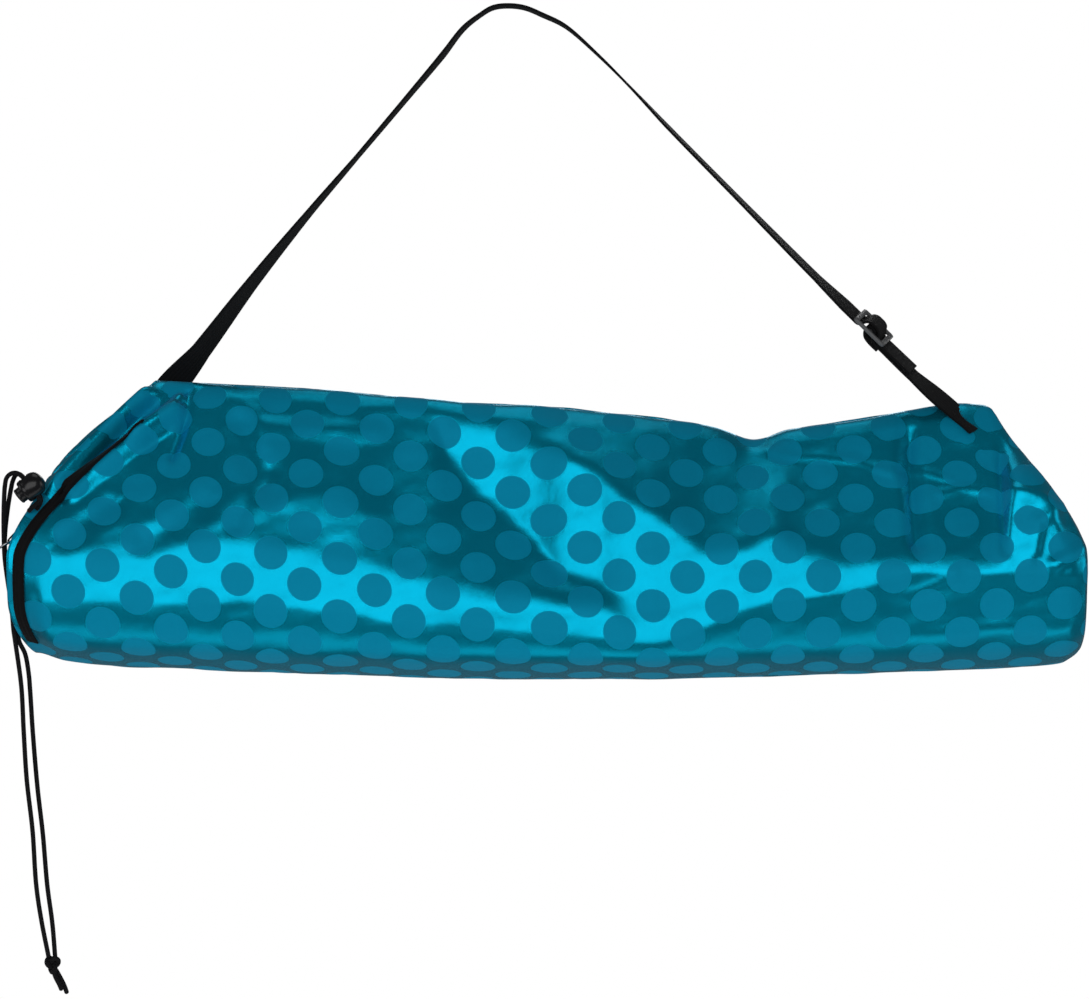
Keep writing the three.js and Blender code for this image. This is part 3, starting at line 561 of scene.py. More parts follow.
def cutSlot(piece, low, high):                 # the cords' way through, with rounded corners
    wide = lock["slot"][0]
    mesh = bmesh.new()
    bmesh.ops.create_cube(mesh, size=1, matrix=Matrix.Translation((0, 0, (low + high) / 2))
                          @ Matrix.Diagonal((4 * lock["radius"], wide, high - low, 1)))
    long = [e for e in mesh.edges if abs(e.verts[0].co.x - e.verts[1].co.x) > lock["radius"]]
    bmesh.ops.bevel(mesh, geom=long, offset=1.6 * mm, segments=4, profile=0.5, affect="EDGES", material=-1)
    cutter = fromMesh("slotCutter", mesh, lockFinish)
    cut = addModifier(piece, "BOOLEAN", operation="DIFFERENCE", object=cutter)
    whole = bpy.data.meshes.new_from_object(piece.evaluated_get(bpy.context.evaluated_depsgraph_get()))
    piece.modifiers.remove(cut)
    piece.data = whole
    bpy.data.objects.remove(cutter)


def settle(piece, place):                      # moves the mesh itself, so the object stays at the origin
    mesh = bmesh.new()
    mesh.from_mesh(piece.data)
    bmesh.ops.transform(mesh, matrix=place, verts=mesh.verts)
    sharp = [e for e in mesh.edges if e.is_manifold and e.calc_face_angle(0) > 0.7]
    for edge in sharp:
        edge.smooth = False
    mesh.to_mesh(piece.data)
    mesh.free()
    for face in piece.data.polygons:
        face.use_smooth = True


def makeLock():
    half = lock["slot"][1] / 2
    outer = [(share * lock["radius"], height * mm) for share, height in lock["profile"]]
    foot, head = lock["boreEnds"]
    stemRoom = [(0, head), (lock["bore"], head), (lock["bore"], foot)]
    barrel = turnedPiece("lock_barrel_shell", stemRoom + outer, lockFinish)
    cutSlot(barrel, -half, half)
    settle(barrel, atLock())
    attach(barrel, "root")
    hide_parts("lock_barrel")

    button = turnedPiece("lock_button_cap", [(r * mm, h * mm) for r, h in lock["buttonProfile"]], lockFinish)
    cutSlot(button, lock["play"] - half - lock["travel"], half - lock["play"])
    settle(button, atLock())
    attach(button, "button")
    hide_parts("lock_button")


# Steel ring on its webbing tab, and the knot below

ringTab = {
    "centre": (-319.8 * mm, -46 * mm, -347 * mm),
    "droop": 30,
    "inner": 3.9 * mm,
    "wire": 1.3 * mm,
    "width": 4 * mm,
    "thick": 0.9 * mm,
    "length": 10.8 * mm,
    "lean": (0.68, 0, 0.73),
}


def makeRing():
    reach, wire = ringTab["inner"] + ringTab["wire"] / 2, ringTab["wire"] / 2
    mesh = bmesh.new()
    upright = Matrix.Translation((reach, 0, 0)) @ Matrix.Rotation(math.pi / 2, 4, "X")
    section = bmesh.ops.create_circle(mesh, segments=16, radius=wire, matrix=upright)
    edges = list({e for v in section["verts"] for e in v.link_edges})
    bmesh.ops.spin(mesh, geom=section["verts"] + edges, cent=(0, 0, 0), axis=(0, 0, 1), dvec=(0, 0, 0),
                   angle=2 * math.pi, steps=64, use_merge=True)
    turn = Matrix.Rotation(-math.radians(ringTab["droop"]), 4, "Y")
    bmesh.ops.transform(mesh, matrix=Matrix.Translation(ringTab["centre"]) @ turn, verts=mesh.verts)
    bmesh.ops.recalc_face_normals(mesh, faces=mesh.faces)
    ring = fromMesh("steel_ring", mesh, steelFinish)
    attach(ring, "root")
    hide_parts("cord_ring")

    droop = math.radians(ringTab["droop"])
    bow = 0.4 * mm
    bend = wire + 0.3 * mm + bow + ringTab["thick"] / 2
    hinge = Vector(ringTab["centre"]) + Vector((math.cos(droop), 0, math.sin(droop))) * (reach - bow / 2)
    lean = Vector(ringTab["lean"]).normalized()
    away = Vector((-lean.z, 0, lean.x))
    stops = [hinge - away * bend + lean * ringTab["length"]]
    for k in range(13):
        angle = math.pi * k / 12
        stops.append(hinge - away * (bend * math.cos(angle)) - lean * (bend * math.sin(angle)))
    stops.append(hinge + away * bend + lean * ringTab["length"])
    line, _ = curveThrough(stops, 90)
    ahead = directions(line)
    out = np.cross((0, 1, 0), ahead)

    def strip(over, along):
        k = np.rint(along * (len(line) - 1)).astype(int)
        side = (over - 0.5) * ringTab["width"]
        point = line[k] + out[k] * (ringTab["thick"] / 2)
        point[:, 1] += side
        return point, np.stack([along * 25 * mm, side], axis=1)

    tab = gridPiece("ring_tab_web", (6, 89), strip, tapeFinish)
    addModifier(tab, "SOLIDIFY", thickness=ringTab["thick"], offset=-1)
    addModifier(tab, "BEVEL", width=0.25 * mm, segments=2, limit_method="ANGLE")
    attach(tab, "root")
    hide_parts("ring_tab")


knot = {
    "turnRadius": 1.35 * mm,
    "turnHeight": 5.2 * mm,
    "drop": 4.7 * mm,
    "tails": [[(0.4, -1.3, -3), (2.0, -1.9, -8), (4.6, -2.2, -13), (6.2, -2.4, -16.8)],
              [(1.6, 0.6, -3), (4.4, 0.9, -8), (7.4, 1.0, -14), (9.2, 1.1, -19.2)]],
}


def makeKnot():
    left, right = (Vector(drawcord[side][-1]) * mm for side in ("left", "right"))
    middle = (left + right) / 2 + Vector((0.5 * mm, 0, -knot["drop"]))
    t = np.linspace(0, 2 * math.pi, 181)
    wound = np.stack([(np.sin(t) + 2 * np.sin(2 * t)) * knot["turnRadius"],
                      np.sin(3 * t) * knot["turnRadius"] * 1.5,
                      (np.cos(t) - 2 * np.cos(2 * t)) * knot["turnHeight"] / 2.9], axis=1)
    wound += np.array(middle)
    body = tubePiece("knot_turns", wound, drawcord["diameter"] / 2, cordFinish, closed=False)
    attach(body, "root")
    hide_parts("cord_knot")
    for number, stops in enumerate(knot["tails"]):
        line, length = curveThrough([middle + Vector(stop) * mm for stop in stops], 60)
        ends = np.minimum(np.linspace(0, length, 60), length - np.linspace(0, length, 60)) / (1.1 * mm)
        radius = drawcord["diameter"] / 2 * np.sqrt(np.clip(1 - (1 - np.clip(ends, 0.12, 1)) ** 2, 0, 1))
        tail = tubePiece(f"knot_tail_{number}", line, radius, cordFinish)
        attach(tail, "root")


makeLock()
makeRing()
makeKnot()
makeDrawcords()
print("cord lock, ring and knot")


# The bag's cloth: a tube that is round below and rises to a ridge, with folds pushed out or in

bag = {
    "length": 684.5 * mm,
    "height": 190 * mm,
    "drop": 243 * mm,
    "mouthReach": 317.5 * mm,
    "rollRadius": 60 * mm,
    "ridgeRadius": 7 * mm,
    "wall": 1.6 * mm,
    "mouthLean": 89.5 * mm,
    "mouthCorner": 13 * mm,
    "mouthLeanSpan": 0.45,
    "endLean": 55 * mm,
    "endLeanSpan": 0.4,
    "bandInset": (7.5 * mm, 31 * mm),
    "bandWidth": 7 * mm,
    "footLength": 24 * mm,
    "cutWidth": 470 * mm,
    "along": 300,
    "around": 240,
    "crumple": 0.9 * mm,
}
insideCloth = bag["wall"] + 0.9 * mm           # from the cloth's outside to a piece set in behind it
mouthEdge = -bag["mouthReach"]
bagTop = -bag["drop"]
bagFloor = bagTop - bag["height"]
backFootX = mouthEdge + bag["mouthLean"]
frontFootX = mouthEdge + bag["length"] * 0.952

bagRows = np.array([                           # along, top, low, depth, sway
    (0, 0, 0.09, 0.95, 0),
    (0.03, 0.002, 0.063, 0.975, 0),
    (0.07, 0.006, 0.047, 1, -0.02),
    (0.13, 0.012, 0.038, 1, -0.04),
    (0.2, 0.019, 0.028, 1, -0.06),
    (0.3, 0.04, 0.015, 1, -0.12),
    (0.4, 0.071, 0.004, 1, -0.26),
    (0.5, 0.09, 0, 1, -0.2),
    (0.6, 0.126, 0.001, 1, 0),
    (0.66, 0.158, 0.005, 0.99, 0.08),
    (0.7, 0.203, 0.01, 0.98, 0.12),
    (0.74, 0.166, 0.014, 0.98, 0.06),
    (0.8, 0.141, 0.02, 0.98, 0),
    (0.9, 0.094, 0.032, 0.97, -0.04),
    (0.95, 0.08, 0.042, 0.97, -0.04),
    (0.985, 0.083, 0.056, 0.96, -0.02),
    (1, 0.092, 0.082, 0.9, 0),
])

# Folds in millimetres: side (-1 front, 1 back), path, rise, width below, width above, sharpness
folds = [
    (-1, ((259, -273), (257, -300), (259, -346)), -5.5, 9, 12, 0.3),
    (-1, ((165, -287), (180, -291), (200, -292), (225, -295), (246, -303)), 1.0, 5, 7, 0.7),
    (-1, ((259, -300), (268, -302), (283, -307)), 0.8, 4, 6, 0.6),
    (-1, ((276, -316), (289, -312), (305, -314)), 0.8, 4, 6, 0.6),
    (-1, ((254, -378), (270, -372), (284, -366)), 0.7, 5, 5, 0.6),
    (-1, ((-253, -323), (-268, -334), (-283, -344)), -1.8, 14, 10, 0),
    (-1, ((-193, -323), (-210, -335), (-229, -345)), -2, 15, 12, 0),
    (-1, ((-152, -300), (-165, -319), (-173, -335)), -1.6, 9, 9, 0.2),
    (-1, ((-174, -253), (-161, -268), (-157, -284)), 1.2, 8, 8, 0.4),
    (-1, ((317, -275), (329, -287)), 3.5, 8, 8, 0.5),
    (-1, ((347, -360), (368, -348)), 3, 6, 8, 0.6),
    (-1, ((352, -324), (338, -334), (334, -352)), 2.4, 5, 12, 0.6),
    (-1, ((321, -312), (338, -316), (352, -324)), 1.8, 9, 4, 0.6),
    (-1, ((316, -285), (316, -352)), -1.6, 5, 5, 0.1),
    (-1, ((254, -408), (305, -401), (353, -403)), 1.6, 14, 10, 0),
    (-1, ((-174, -270), (-150, -312)), -2.4, 15, 15, 0),
    (-1, ((-153, -272), (-85, -276)), 1.4, 10, 10, 0.3),
    (-1, ((176, -276), (198, -318)), -1.6, 14, 14, 0),
    (1, ((107, -277), (-30, -348)), 9.6, 42, 42, 0.2),
    (1, ((162, -285), (93, -348)), -8.4, 27, 27, 0),
    (1, ((-208, -281), (-153, -338)), 6, 19, 19, 0.5),
    (1, ((271, -272), (216, -338)), 7.2, 23, 23, 0.4),
    (1, ((-249, -365), (25, -376)), 4.8, 30, 30, 0.8),
]

# How the front hangs, in millimetres: x, top and foot of the bright sash, top of the hill below
# it, top and foot of the bright band, slope of the hill
drape = np.array([
    (-338, -255, -255, -337, -352, -383, 0.39),
    (-287, -252, -253, -338, -352, -383, 0.39),
    (-248, -250, -250, -334, -351, -383, 0.39),
    (-197, -247, -248, -324, -349, -385, 0.38),
    (-165, -248, -249, -319, -349, -384, 0.34),
    (-133, -250, -251, -319, -357, -387, 0.32),
    (-101, -253, -254, -319, -364, -390, 0.32),
    (-69, -257, -258, -341, -370, -396, 0.41),
    (-50, -262, -265, -364, -373, -397, 0.42),
    (-37, -269, -292, -371, -375, -397, 0.5),
    (-21, -270, -312, -374, -377, -399, 0.5),
    (-5, -274, -325, -376, -379, -401, 0.5),
    (14, -283, -343, -379, -381, -402, 0.5),
    (33, -287, -365, -382, -383, -404, 0.5),
    (59, -303, -375, -385, -387, -406, 0.4),
    (75, -316, -387, -390, -393, -408, 0.35),
    (94, -327, -397, -397, -397, -409, 0.35),
    (110, -338, -396, -396, -396, -405, 0.35),
    (125, -350, -392, -392, -392, -399, 0.35),
    (148, -349, -383, -383, -383, -388, 0.35),
    (168, -339, -379, -379, -379, -383, 0.35),
    (187, -351, -378, -378, -378, -381, 0.35),
    (219, -358, -375, -375, -375, -377, 0.35),
    (251, -358, -364, -364, -364, -366, 0.35),
    (283, -358, -363, -363, -363, -365, 0.35),
    (315, -355, -362, -362, -362, -365, 0.35),
    (321, -319, -362, -362, -362, -365, 0.35),
    (334, -315, -362, -362, -362, -365, 0.35),
    (345, -324, -362, -362, -362, -365, 0.35),
    (355, -346, -361, -361, -361, -365, 0.35),
    (379, -351, -360, -360, -360, -365, 0.35),
])
drapeRounding = 6 * mm
sashSlope = 0.13
bandSlope = 0.05

# Pleats that run from the foot of the strap down beside the mouth, in the same columns as folds
pleats = [
    (-1, ((-289, -307), (-262, -274), (-236, -252)), 8.5, 15, 7, 0.3),
    (-1, ((-283, -318), (-266, -297), (-245, -273), (-229, -258)), -2.6, 6, 6, 0),
    (-1, ((-279, -312), (-268, -302), (-242, -282), (-214, -263)), 7.5, 11, 6, 0.3),
    (-1, ((-238, -278), (-211, -255)), 6, 10, 5, 0.4),
    (-1, ((-207, -251), (-209, -274), (-215, -292)), -3.2, 6, 5, 0.3),
    (1, ((-285, -300), (-259, -273), (-229, -257)), 4.5, 9, 5, 0.4),
    (1, ((-280, -309), (-250, -284), (-222, -262)), -4.5, 6, 6, 0.2),
    (1, ((-262, -306), (-238, -286), (-216, -266)), 4.5, 9, 5, 0.4),
]


def hangFront(x, z, y, start, top, low, fullest):  # the front drawn to how it hangs
    at = x / mm
    stops = [readRows(drape, k, at) * mm for k in range(1, 6)]
    hill = readRows(drape, 6, at)
    edges = [top, *stops]
    for k in range(1, 6):
        edges[k] = np.minimum(edges[k], edges[k - 1] - 0.1 * mm)
    spans = [a - b for a, b in zip(edges, edges[1:])]
    gain = fullest - start - sashSlope * spans[1] - hill * spans[3] - bandSlope * spans[4]
    steep = np.clip(gain / (spans[0] + spans[2]), 0.1, 2)
    slopes = [steep, sashSlope, steep, hill, bandSlope]
    depth = np.zeros_like(x)
    for shift in (-1, -0.66, -0.33, 0, 0.33, 0.66, 1):
        here = start
        for edge, span, slope in zip(edges, spans, slopes):
            here = here + np.clip(edge - z - shift * drapeRounding, 0, span) * slope
        depth += here / 7
    under = np.clip((edges[5] - z) / (edges[5] - low), 0, 1)
    depth = depth * (1 - under ** 2.3) ** (1 / 2.3)
    crease = np.interp(at, (100, 200), (0.2, 0.36))
    depth -= crease * (1 - under) ** 2 * np.clip(edges[5] - z, 0, None)
    near = easeIn((top - z) / (9 * mm)) * easeIn((z - low) / (16 * mm))
    return y + (-depth - y) * near


def foldPush(rows, side, x, z):
    push = np.zeros_like(x)
    for foldSide, path, rise, under, over, sharp in rows:
        reach = np.full_like(x, 9.0)
        for (x1, z1), (x2, z2) in zip(path, path[1:]):
            runX, runZ = (x2 - x1) * mm, (z2 - z1) * mm
            hereX, hereZ = x - x1 * mm, z - z1 * mm
            share = np.clip((hereX * runX + hereZ * runZ) / (runX ** 2 + runZ ** 2), 0, 1)
            away = np.hypot(hereX - share * runX, hereZ - share * runZ)
            isOver = (runX * hereZ - runZ * hereX) * (1 if runX > 0 else -1) > 0
            reach = np.minimum(reach, away / (np.where(isOver, over, under) * mm))
        near = np.clip(1 - reach, 0, 1)
        soft = np.clip(1 - reach ** 2, 0, 1) ** 2
        push += (side == foldSide) * rise * mm * (soft + (near ** 2 - soft) * sharp)
    return push


def mouthEdgeIn(height):
    return bag["mouthLean"] * np.clip((height - 0.36) / 0.64, 0, 1) ** 1.45 \
        + bag["mouthCorner"] * np.clip(1 - height / 0.2, 0, 1) ** 2


def bandInset(height):
    low, high = bag["bandInset"]
    return low + (high - low) * np.clip((height - 0.3) / 0.65, 0, 1) ** 1.6


def foldRoom(side, x, z, height):              # the cloth stays plain beside the hem and the feet
    inset = bandInset(height) + bag["bandWidth"]
    beside = easeIn((x - mouthEdge - mouthEdgeIn(height) - inset * 0.7) / (bag["bandWidth"] * 2))
    footX = np.where(side > 0, backFootX, frontFootX)
    footZ = np.where(side > 0, bagTop, bagTop - 0.1 * bag["height"])
    fromFoot = np.hypot(x - footX, z - footZ)
    return beside * easeIn((fromFoot - bag["footLength"] * 0.8) / bag["footLength"])


def bagPoint(along, around, sink=0.0, detail=True):
    along, around = np.broadcast_arrays(np.asarray(along, float), np.asarray(around, float))
    ridge = bag["ridgeRadius"]
    top = bagTop - readRows(bagRows, 1, along) * bag["height"]
    low = bagFloor + readRows(bagRows, 2, along) * bag["height"]
    radius = readRows(bagRows, 3, along) * bag["rollRadius"]
    sway = readRows(bagRows, 4, along) * bag["rollRadius"] * 0.5
    middle = low + radius
    rise = top - ridge - middle
    turn = np.arccos((radius - ridge) / rise)
    flank = np.sqrt(rise ** 2 - (radius - ridge) ** 2)
    side = np.where(around <= 0.5, -1.0, 1.0)
    topArc = ridge * turn
    walked = np.where(around <= 0.5, around * 2, 2 - around * 2) \
        * (topArc + flank + radius * (math.pi - turn))
    down = np.clip((walked - topArc) / flank, 0, 1)
    angle = np.where(walked < topArc, walked / ridge, turn + np.maximum(walked - topArc - flank, 0) / radius)
    reach = ridge + (radius - ridge) * down
    out = reach * np.sin(angle)
    up = top - ridge + (middle - top + ridge) * down + reach * np.cos(angle)
    height = (up - low) / (top - low)
    x = mouthEdge + bag["length"] * along \
        + np.clip(1 - along / bag["mouthLeanSpan"], 0, 1) ** 2 * mouthEdgeIn(height) \
        - bag["endLean"] * np.clip(1 - (1 - along) / bag["endLeanSpan"], 0, 1) ** 2 \
        * easeIn((height - 0.38) / 0.75) * 1.08
    swing = sway * np.clip((up - middle) / (top - middle), 0, 1)
    room = foldRoom(side, x, up, height)
    push = foldPush(folds, side, x, up) * room * easeIn((1 - height) * 8) * easeIn(height * 5)
    push = push + foldPush(pleats, side, x, up) * easeIn((1 - height) * 22) * easeIn(along * 110)
    if detail:
        push = push + room * crumples(side, x, up) - seamRoll(along)
    y = side * out + swing
    hung = hangFront(x, up, y, ridge - sway, top, low, radius + 2 * mm)
    y = np.where(side < 0, y + (hung - y) * room, y)
    y = y + side * push * np.sin(angle)
    z = up + push * np.cos(angle)
    return np.stack([x, y - side * sink * np.sin(angle), z - sink * np.cos(angle)], axis=-1)


def crumples(side, x, z):                      # small soft creases all over, slanting as the folds do
    lean = np.stack([(x + z * 0.6) / (46 * mm), (z - x * 0.25) / (21 * mm), side * 3.0], axis=-1)
    fine = np.stack([(x + z * 0.4) / (17 * mm), (z - x * 0.3) / (9 * mm), side * 5.0], axis=-1)
    flat, small = lean.reshape(-1, 3), fine.reshape(-1, 3)
    big = np.array([noise.noise(Vector(p)) for p in flat]).reshape(x.shape)
    little = np.array([noise.noise(Vector(p)) for p in small]).reshape(x.shape)
    return bag["crumple"] * (big + 0.35 * little)


def seamRoll(along):                           # the cloth turns in where the end panel is sewn
    past = np.clip((along - 0.9935) / 0.0065, 0, 1)
    return 2.2 * mm * (1 - np.sqrt(np.clip(1 - past ** 2, 0, 1)))


def alongAt(x, around):                        # where a line round the tube has a given X
    low, high = np.zeros_like(x), np.ones_like(x)
    for _ in range(26):
        half = (low + high) / 2
        past = bagPoint(half, around, detail=False)[..., 0] > x
        high, low = np.where(past, half, high), np.where(past, low, half)
    return (low + high) / 2


def crowd(share):                              # closer together towards both ends
    return share - 0.25 * np.sin(2 * math.pi * share) / (2 * math.pi)


# Where one row of printed dots lies on the front: x, half pitches along the row, z in millimetres
printedRow = np.array([
    (-338, -3.8, -353),
    (-278, -1, -358),
    (-213, 2, -364),
    (-171, 4, -369),
    (-129, 6, -372),
    (-84, 8, -376),
    (-41, 10, -378),
    (3, 12, -380),
    (50, 14, -383),
    (92, 16, -386),
    (136, 18, -386),
    (178, 20, -385),
    (289, 25, -385),
    (379, 29.2, -383),
])


def printedCloth(point, along, around):        # places on the flat cloth, from the walk round the tube
    order = np.lexsort((around, along))
    rings = point[order].reshape(bag["along"] + 1, bag["around"] + 1, 3)
    walked = np.cumsum(np.linalg.norm(np.diff(rings, axis=1, prepend=rings[:, :1]), axis=2), axis=1)
    half = bag["around"] // 2
    above = rings[:, :half, 2] - np.interp(rings[:, :half, 0] / mm, printedRow[:, 0], printedRow[:, 2]) * mm
    mark = np.array([np.interp(0, -a, w) for a, w in zip(above, walked[:, :half])])
    cloth = np.empty((len(point), 2))
    cloth[order, 0] = np.interp(rings[..., 0].ravel() / mm, printedRow[:, 0], printedRow[:, 1]) \
        * satin["dotPitch"] / 2
    cloth[order, 1] = (mark[:, None] - walked).ravel()
    return cloth


def makeBag():
    def tube(along, around):
        share = crowd(along)
        point = bagPoint(share, around)
        return point, printedCloth(point, along, around)

    body = gridPiece("bag_cloth", (bag["along"], bag["around"]), tube, bagCloth, wrap=True)
    addModifier(body, "SOLIDIFY", thickness=bag["wall"], offset=-1)
    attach(body, "root")
    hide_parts("bag_body")
    return body


bagCloth3d = makeBag()
print("bag cloth")


# Sewn end panel and gathered mouth

endPanel = {"bulge": 4 * mm, "around": 168, "rings": 22, "puckers": 26, "puckerDepth": 0.8 * mm}
mouth = {
    "radius": 13 * mm,
    "forward": 12 * mm,
    "recess": 12 * mm,
    "puff": 4 * mm,
    "pleats": 26,
    "pleatDepth": 2.3 * mm,
    "hem": 2.4 * mm,
    "around": 312,
    "rings": 40,
}


def makeEndPanel():
    rows = bagRows[-1]
    top, low = bagTop - rows[1] * bag["height"], bagFloor + rows[2] * bag["height"]
    centre = np.array([mouthEdge + bag["length"] - bag["endLean"] * 0.3, 0, (top + low) / 2])

    def disc(size, around):
        size = 1 - size * 0.995                # from the rim to a small hole that is closed after
        rim = bagPoint(np.ones_like(around), around, insideCloth, detail=False)
        point = centre + (rim - centre) * size[:, None]
        pucker = np.sin(around * 2 * math.pi * endPanel["puckers"]) * endPanel["puckerDepth"]
        point[:, 0] += endPanel["bulge"] * (1 - size ** 6) + pucker * size ** 10 - 2.6 * mm * size ** 30
        return point, point[:, 1:]

    panel = gridPiece("end_panel_cloth", (endPanel["rings"], endPanel["around"]), disc, bagCloth,
                      wrap=True, flip=True)
    addModifier(panel, "SOLIDIFY", thickness=bag["wall"], offset=-1)
    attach(panel, "root")
    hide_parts("end_panel")


mouthNormal = np.array(Vector((-0.85, 0, 0.53)).normalized())
mouthUp = np.array(Vector((0.53, 0, 0.85)).normalized())
mouthCentre = np.array([mouthEdge + 0.22 * bag["mouthLean"], -mouth["forward"],
                        bagTop - 0.384 * bag["height"]])


def mouthPoint(reach, around, sink=0.0):
    rim = bagPoint(mouth["recess"] / bag["length"] + 0 * around, around, insideCloth, detail=False)
    angle = (around * 2 * math.pi)[..., None]
    ring = mouthCentre + mouthUp * mouth["radius"] * np.cos(angle) \
        - np.array([0, 1, 0]) * mouth["radius"] * np.sin(angle)
    point = rim + (ring - rim) * reach[..., None]
    wobble = np.sin(around * 2 * math.pi * 5) * 0.35 + np.sin(around * 2 * math.pi * 3 + 1) * 0.5
    pleat = np.cos(around * 2 * math.pi * mouth["pleats"] + wobble * 2)
    sharp = 1 - (1 - np.abs(pleat)) ** 1.4
    gather = np.sign(pleat) * sharp * mouth["pleatDepth"] * easeIn(reach * 1.4) * (0.75 + 0.25 * wobble)
    puff = mouth["puff"] * 4 * reach * (1 - reach) + gather * (1 - 0.55 * easeIn(reach * 4 - 3))
    return point + mouthNormal * (puff - sink)[..., None]


def makeMouth():
    def gathers(reach, around):
        where = np.clip(reach * 1.04 - 0.04, 0, 1)
        point = mouthPoint(where, around)
        tuck = bagPoint((mouth["recess"] + 5 * mm) / bag["length"] + 0 * around, around,
                        insideCloth, detail=False)
        start = (reach < 0.02)[:, None]
        return np.where(start, tuck, point), \
            np.stack([reach * 90 * mm, (around - 0.5) * bag["cutWidth"]], axis=1)

    cap = gridPiece("mouth_gathers", (mouth["rings"], mouth["around"]), gathers, plainCloth,
                    wrap=True, flip=True)
    addModifier(cap, "SOLIDIFY", thickness=bag["wall"], offset=-1)
    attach(cap, "root")
    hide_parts("mouth_cap")

    turns = np.linspace(0, 1, 313)             # the hem with the drawcord's channel round the mouth
    line = mouthPoint(np.full_like(turns, 0.985), turns, 1.0 * mm)
    puff = mouth["hem"] / 2 * (1 + 0.22 * np.cos(turns * 2 * math.pi * mouth["pleats"] * 2))
    hem = tubePiece("mouth_hem", line, puff, plainCloth, sides=14, closed=False)
    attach(hem, "root")


makeEndPanel()
makeMouth()
print("end panel and mouth")


# Black tape sewn beside the mouth

tape = {
    "thick": 1.0 * mm,
    "lift": 0.95 * mm,
    "lowShare": 0.845,
    "highShare": {-1: 0.165, 1: 0.3},
    "steps": 240,
    "stitch": (1.7 * mm, 3.0 * mm, 0.28 * mm),
}


def tapePoint(side, share, across, lift):
    around = share / 2 if side < 0 else 1 - share / 2
    edge = bagPoint(0 * around, around, detail=False)
    low = bagFloor + bagRows[0][2] * bag["height"]
    height = (edge[..., 2] - low) / (bagTop - low)
    x = edge[..., 0] + bandInset(height) + across
    return bagPoint(alongAt(x, around), around, -lift)


def stitches(name, line, normals, material, size):
    long, pitch, thick = size
    walked = walkedLengths(line)
    count = int(walked[-1] / pitch)
    mesh = bmesh.new()
    for k in range(count):
        middle = (k + 0.5) * walked[-1] / count
        point = Vector([np.interp(middle, walked, line[:, a]) for a in range(3)])
        ahead = Vector([np.interp(middle + long / 4, walked, line[:, a]) for a in range(3)]) - point
        up = Vector([np.interp(middle, walked, normals[:, a]) for a in range(3)]).normalized()
        ahead = (ahead - up * ahead.dot(up)).normalized()
        turn = Matrix((ahead, up.cross(ahead), up)).transposed().to_4x4()
        place = Matrix.Translation(point) @ turn @ Matrix.Diagonal((long / 2, thick, thick, 1))
        bmesh.ops.create_icosphere(mesh, subdivisions=1, radius=1, matrix=place)
    return fromMesh(name, mesh, material)


def makeTape(side, name):
    low, high = tape["lowShare"], tape["highShare"][side]

    def strip(across, along):
        share = low + (high - low) * along
        lift = tape["lift"] + tape["thick"] + 0.25 * mm * (1 - (across * 2 - 1) ** 4)
        point = tapePoint(side, share, (across - 0.5) * bag["bandWidth"], lift)
        return point, np.stack([along * 190 * mm, (across - 0.5) * bag["bandWidth"]], axis=1)

    piece = gridPiece("tape_" + name, (8, tape["steps"]), strip, tapeFinish, flip=side < 0)
    addModifier(piece, "SOLIDIFY", thickness=tape["thick"], offset=-1)
    addModifier(piece, "BEVEL", width=0.25 * mm, segments=2, limit_method="ANGLE")
    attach(piece, "root")
    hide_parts("mouth_band_" + name)
    share = np.linspace(low, high, 160)[1:-1]
    for row in (-1, 1):
        across = np.full_like(share, row * (bag["bandWidth"] / 2 - 1.1 * mm))
        line = tapePoint(side, share, across, tape["lift"] + tape["thick"] + 0.2 * mm)
        under = tapePoint(side, share, across, tape["lift"])
        thread = stitches(f"tape_thread_{name}_{row + 1}", line, line - under, threadFinish, tape["stitch"])
        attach(thread, "root")


makeTape(-1, "front")
makeTape(1, "back")
print("tape")


# Shoulder strap, its anchor and the three-bar slider

strap = {
    "width": 20 * mm,
    "thick": 1.6 * mm,
    "seat": 1.7 * mm,
    "sliderPlace": 0.797,
    "sliderLength": 26 * mm,
    "sliderThick": 2.5 * mm,
    "sliderBar": 3.5 * mm,
    "sliderRail": 2.6 * mm,
    "sliderSlack": 0.6 * mm,
    "tail": 24 * mm,
    "gap": 0.3 * mm,
    "pinchLength": 42 * mm,
    "sewn": (15 * mm, 14 * mm),
    "stitch": (2.1 * mm, 2.7 * mm, 0.3 * mm),
}
leftLeg = [                                    # out, down, turn
    (0, 0, 0), (0.045, 0.005, 0), (0.085, 0.026, 0), (0.13, 0.058, 2), (0.19, 0.126, 4), (0.3, 0.242, 2),
    (0.439, 0.387, 1), (0.583, 0.535, 6), (0.75, 0.716, 17), (0.895, 0.885, 32), (1, 1, 52),
]
rightLeg = [
    (0, 0, 0), (0.037, 0.005, 0), (0.077, 0.023, 0), (0.127, 0.05, 1), (0.2, 0.12, 3), (0.28, 0.208, 5),
    (0.353, 0.293, 9), (0.52, 0.48, 11), (0.69, 0.669, 16), (1, 1, 34),
]
longThread = [                                 # on, off
    (-0.9, -1), (-0.62, -1), (-0.45, -1.02), (-0.39, -1), (-0.325, -0.72), (-0.265, 0.3), (-0.215, 1.3),
    (-0.13, 1.86), (0, 1.96), (0.09, 1.9), (0.17, 1.55), (0.225, 0.7), (0.27, -0.2), (0.325, -0.85),
    (0.4, -1.03), (0.5, -1.03),
]
anchorThread = [
    (0.46, -2.67), (0.2, -2.66), (0.02, -2.3), (-0.07, -1.5), (-0.12, -0.4), (-0.112, 0.66), (0, 1.06),
    (0.1, 0.85), (0.14, 0), (0.185, -0.95), (0.26, -1.62), (0.36, -1.86), (0.5, -1.86),
]

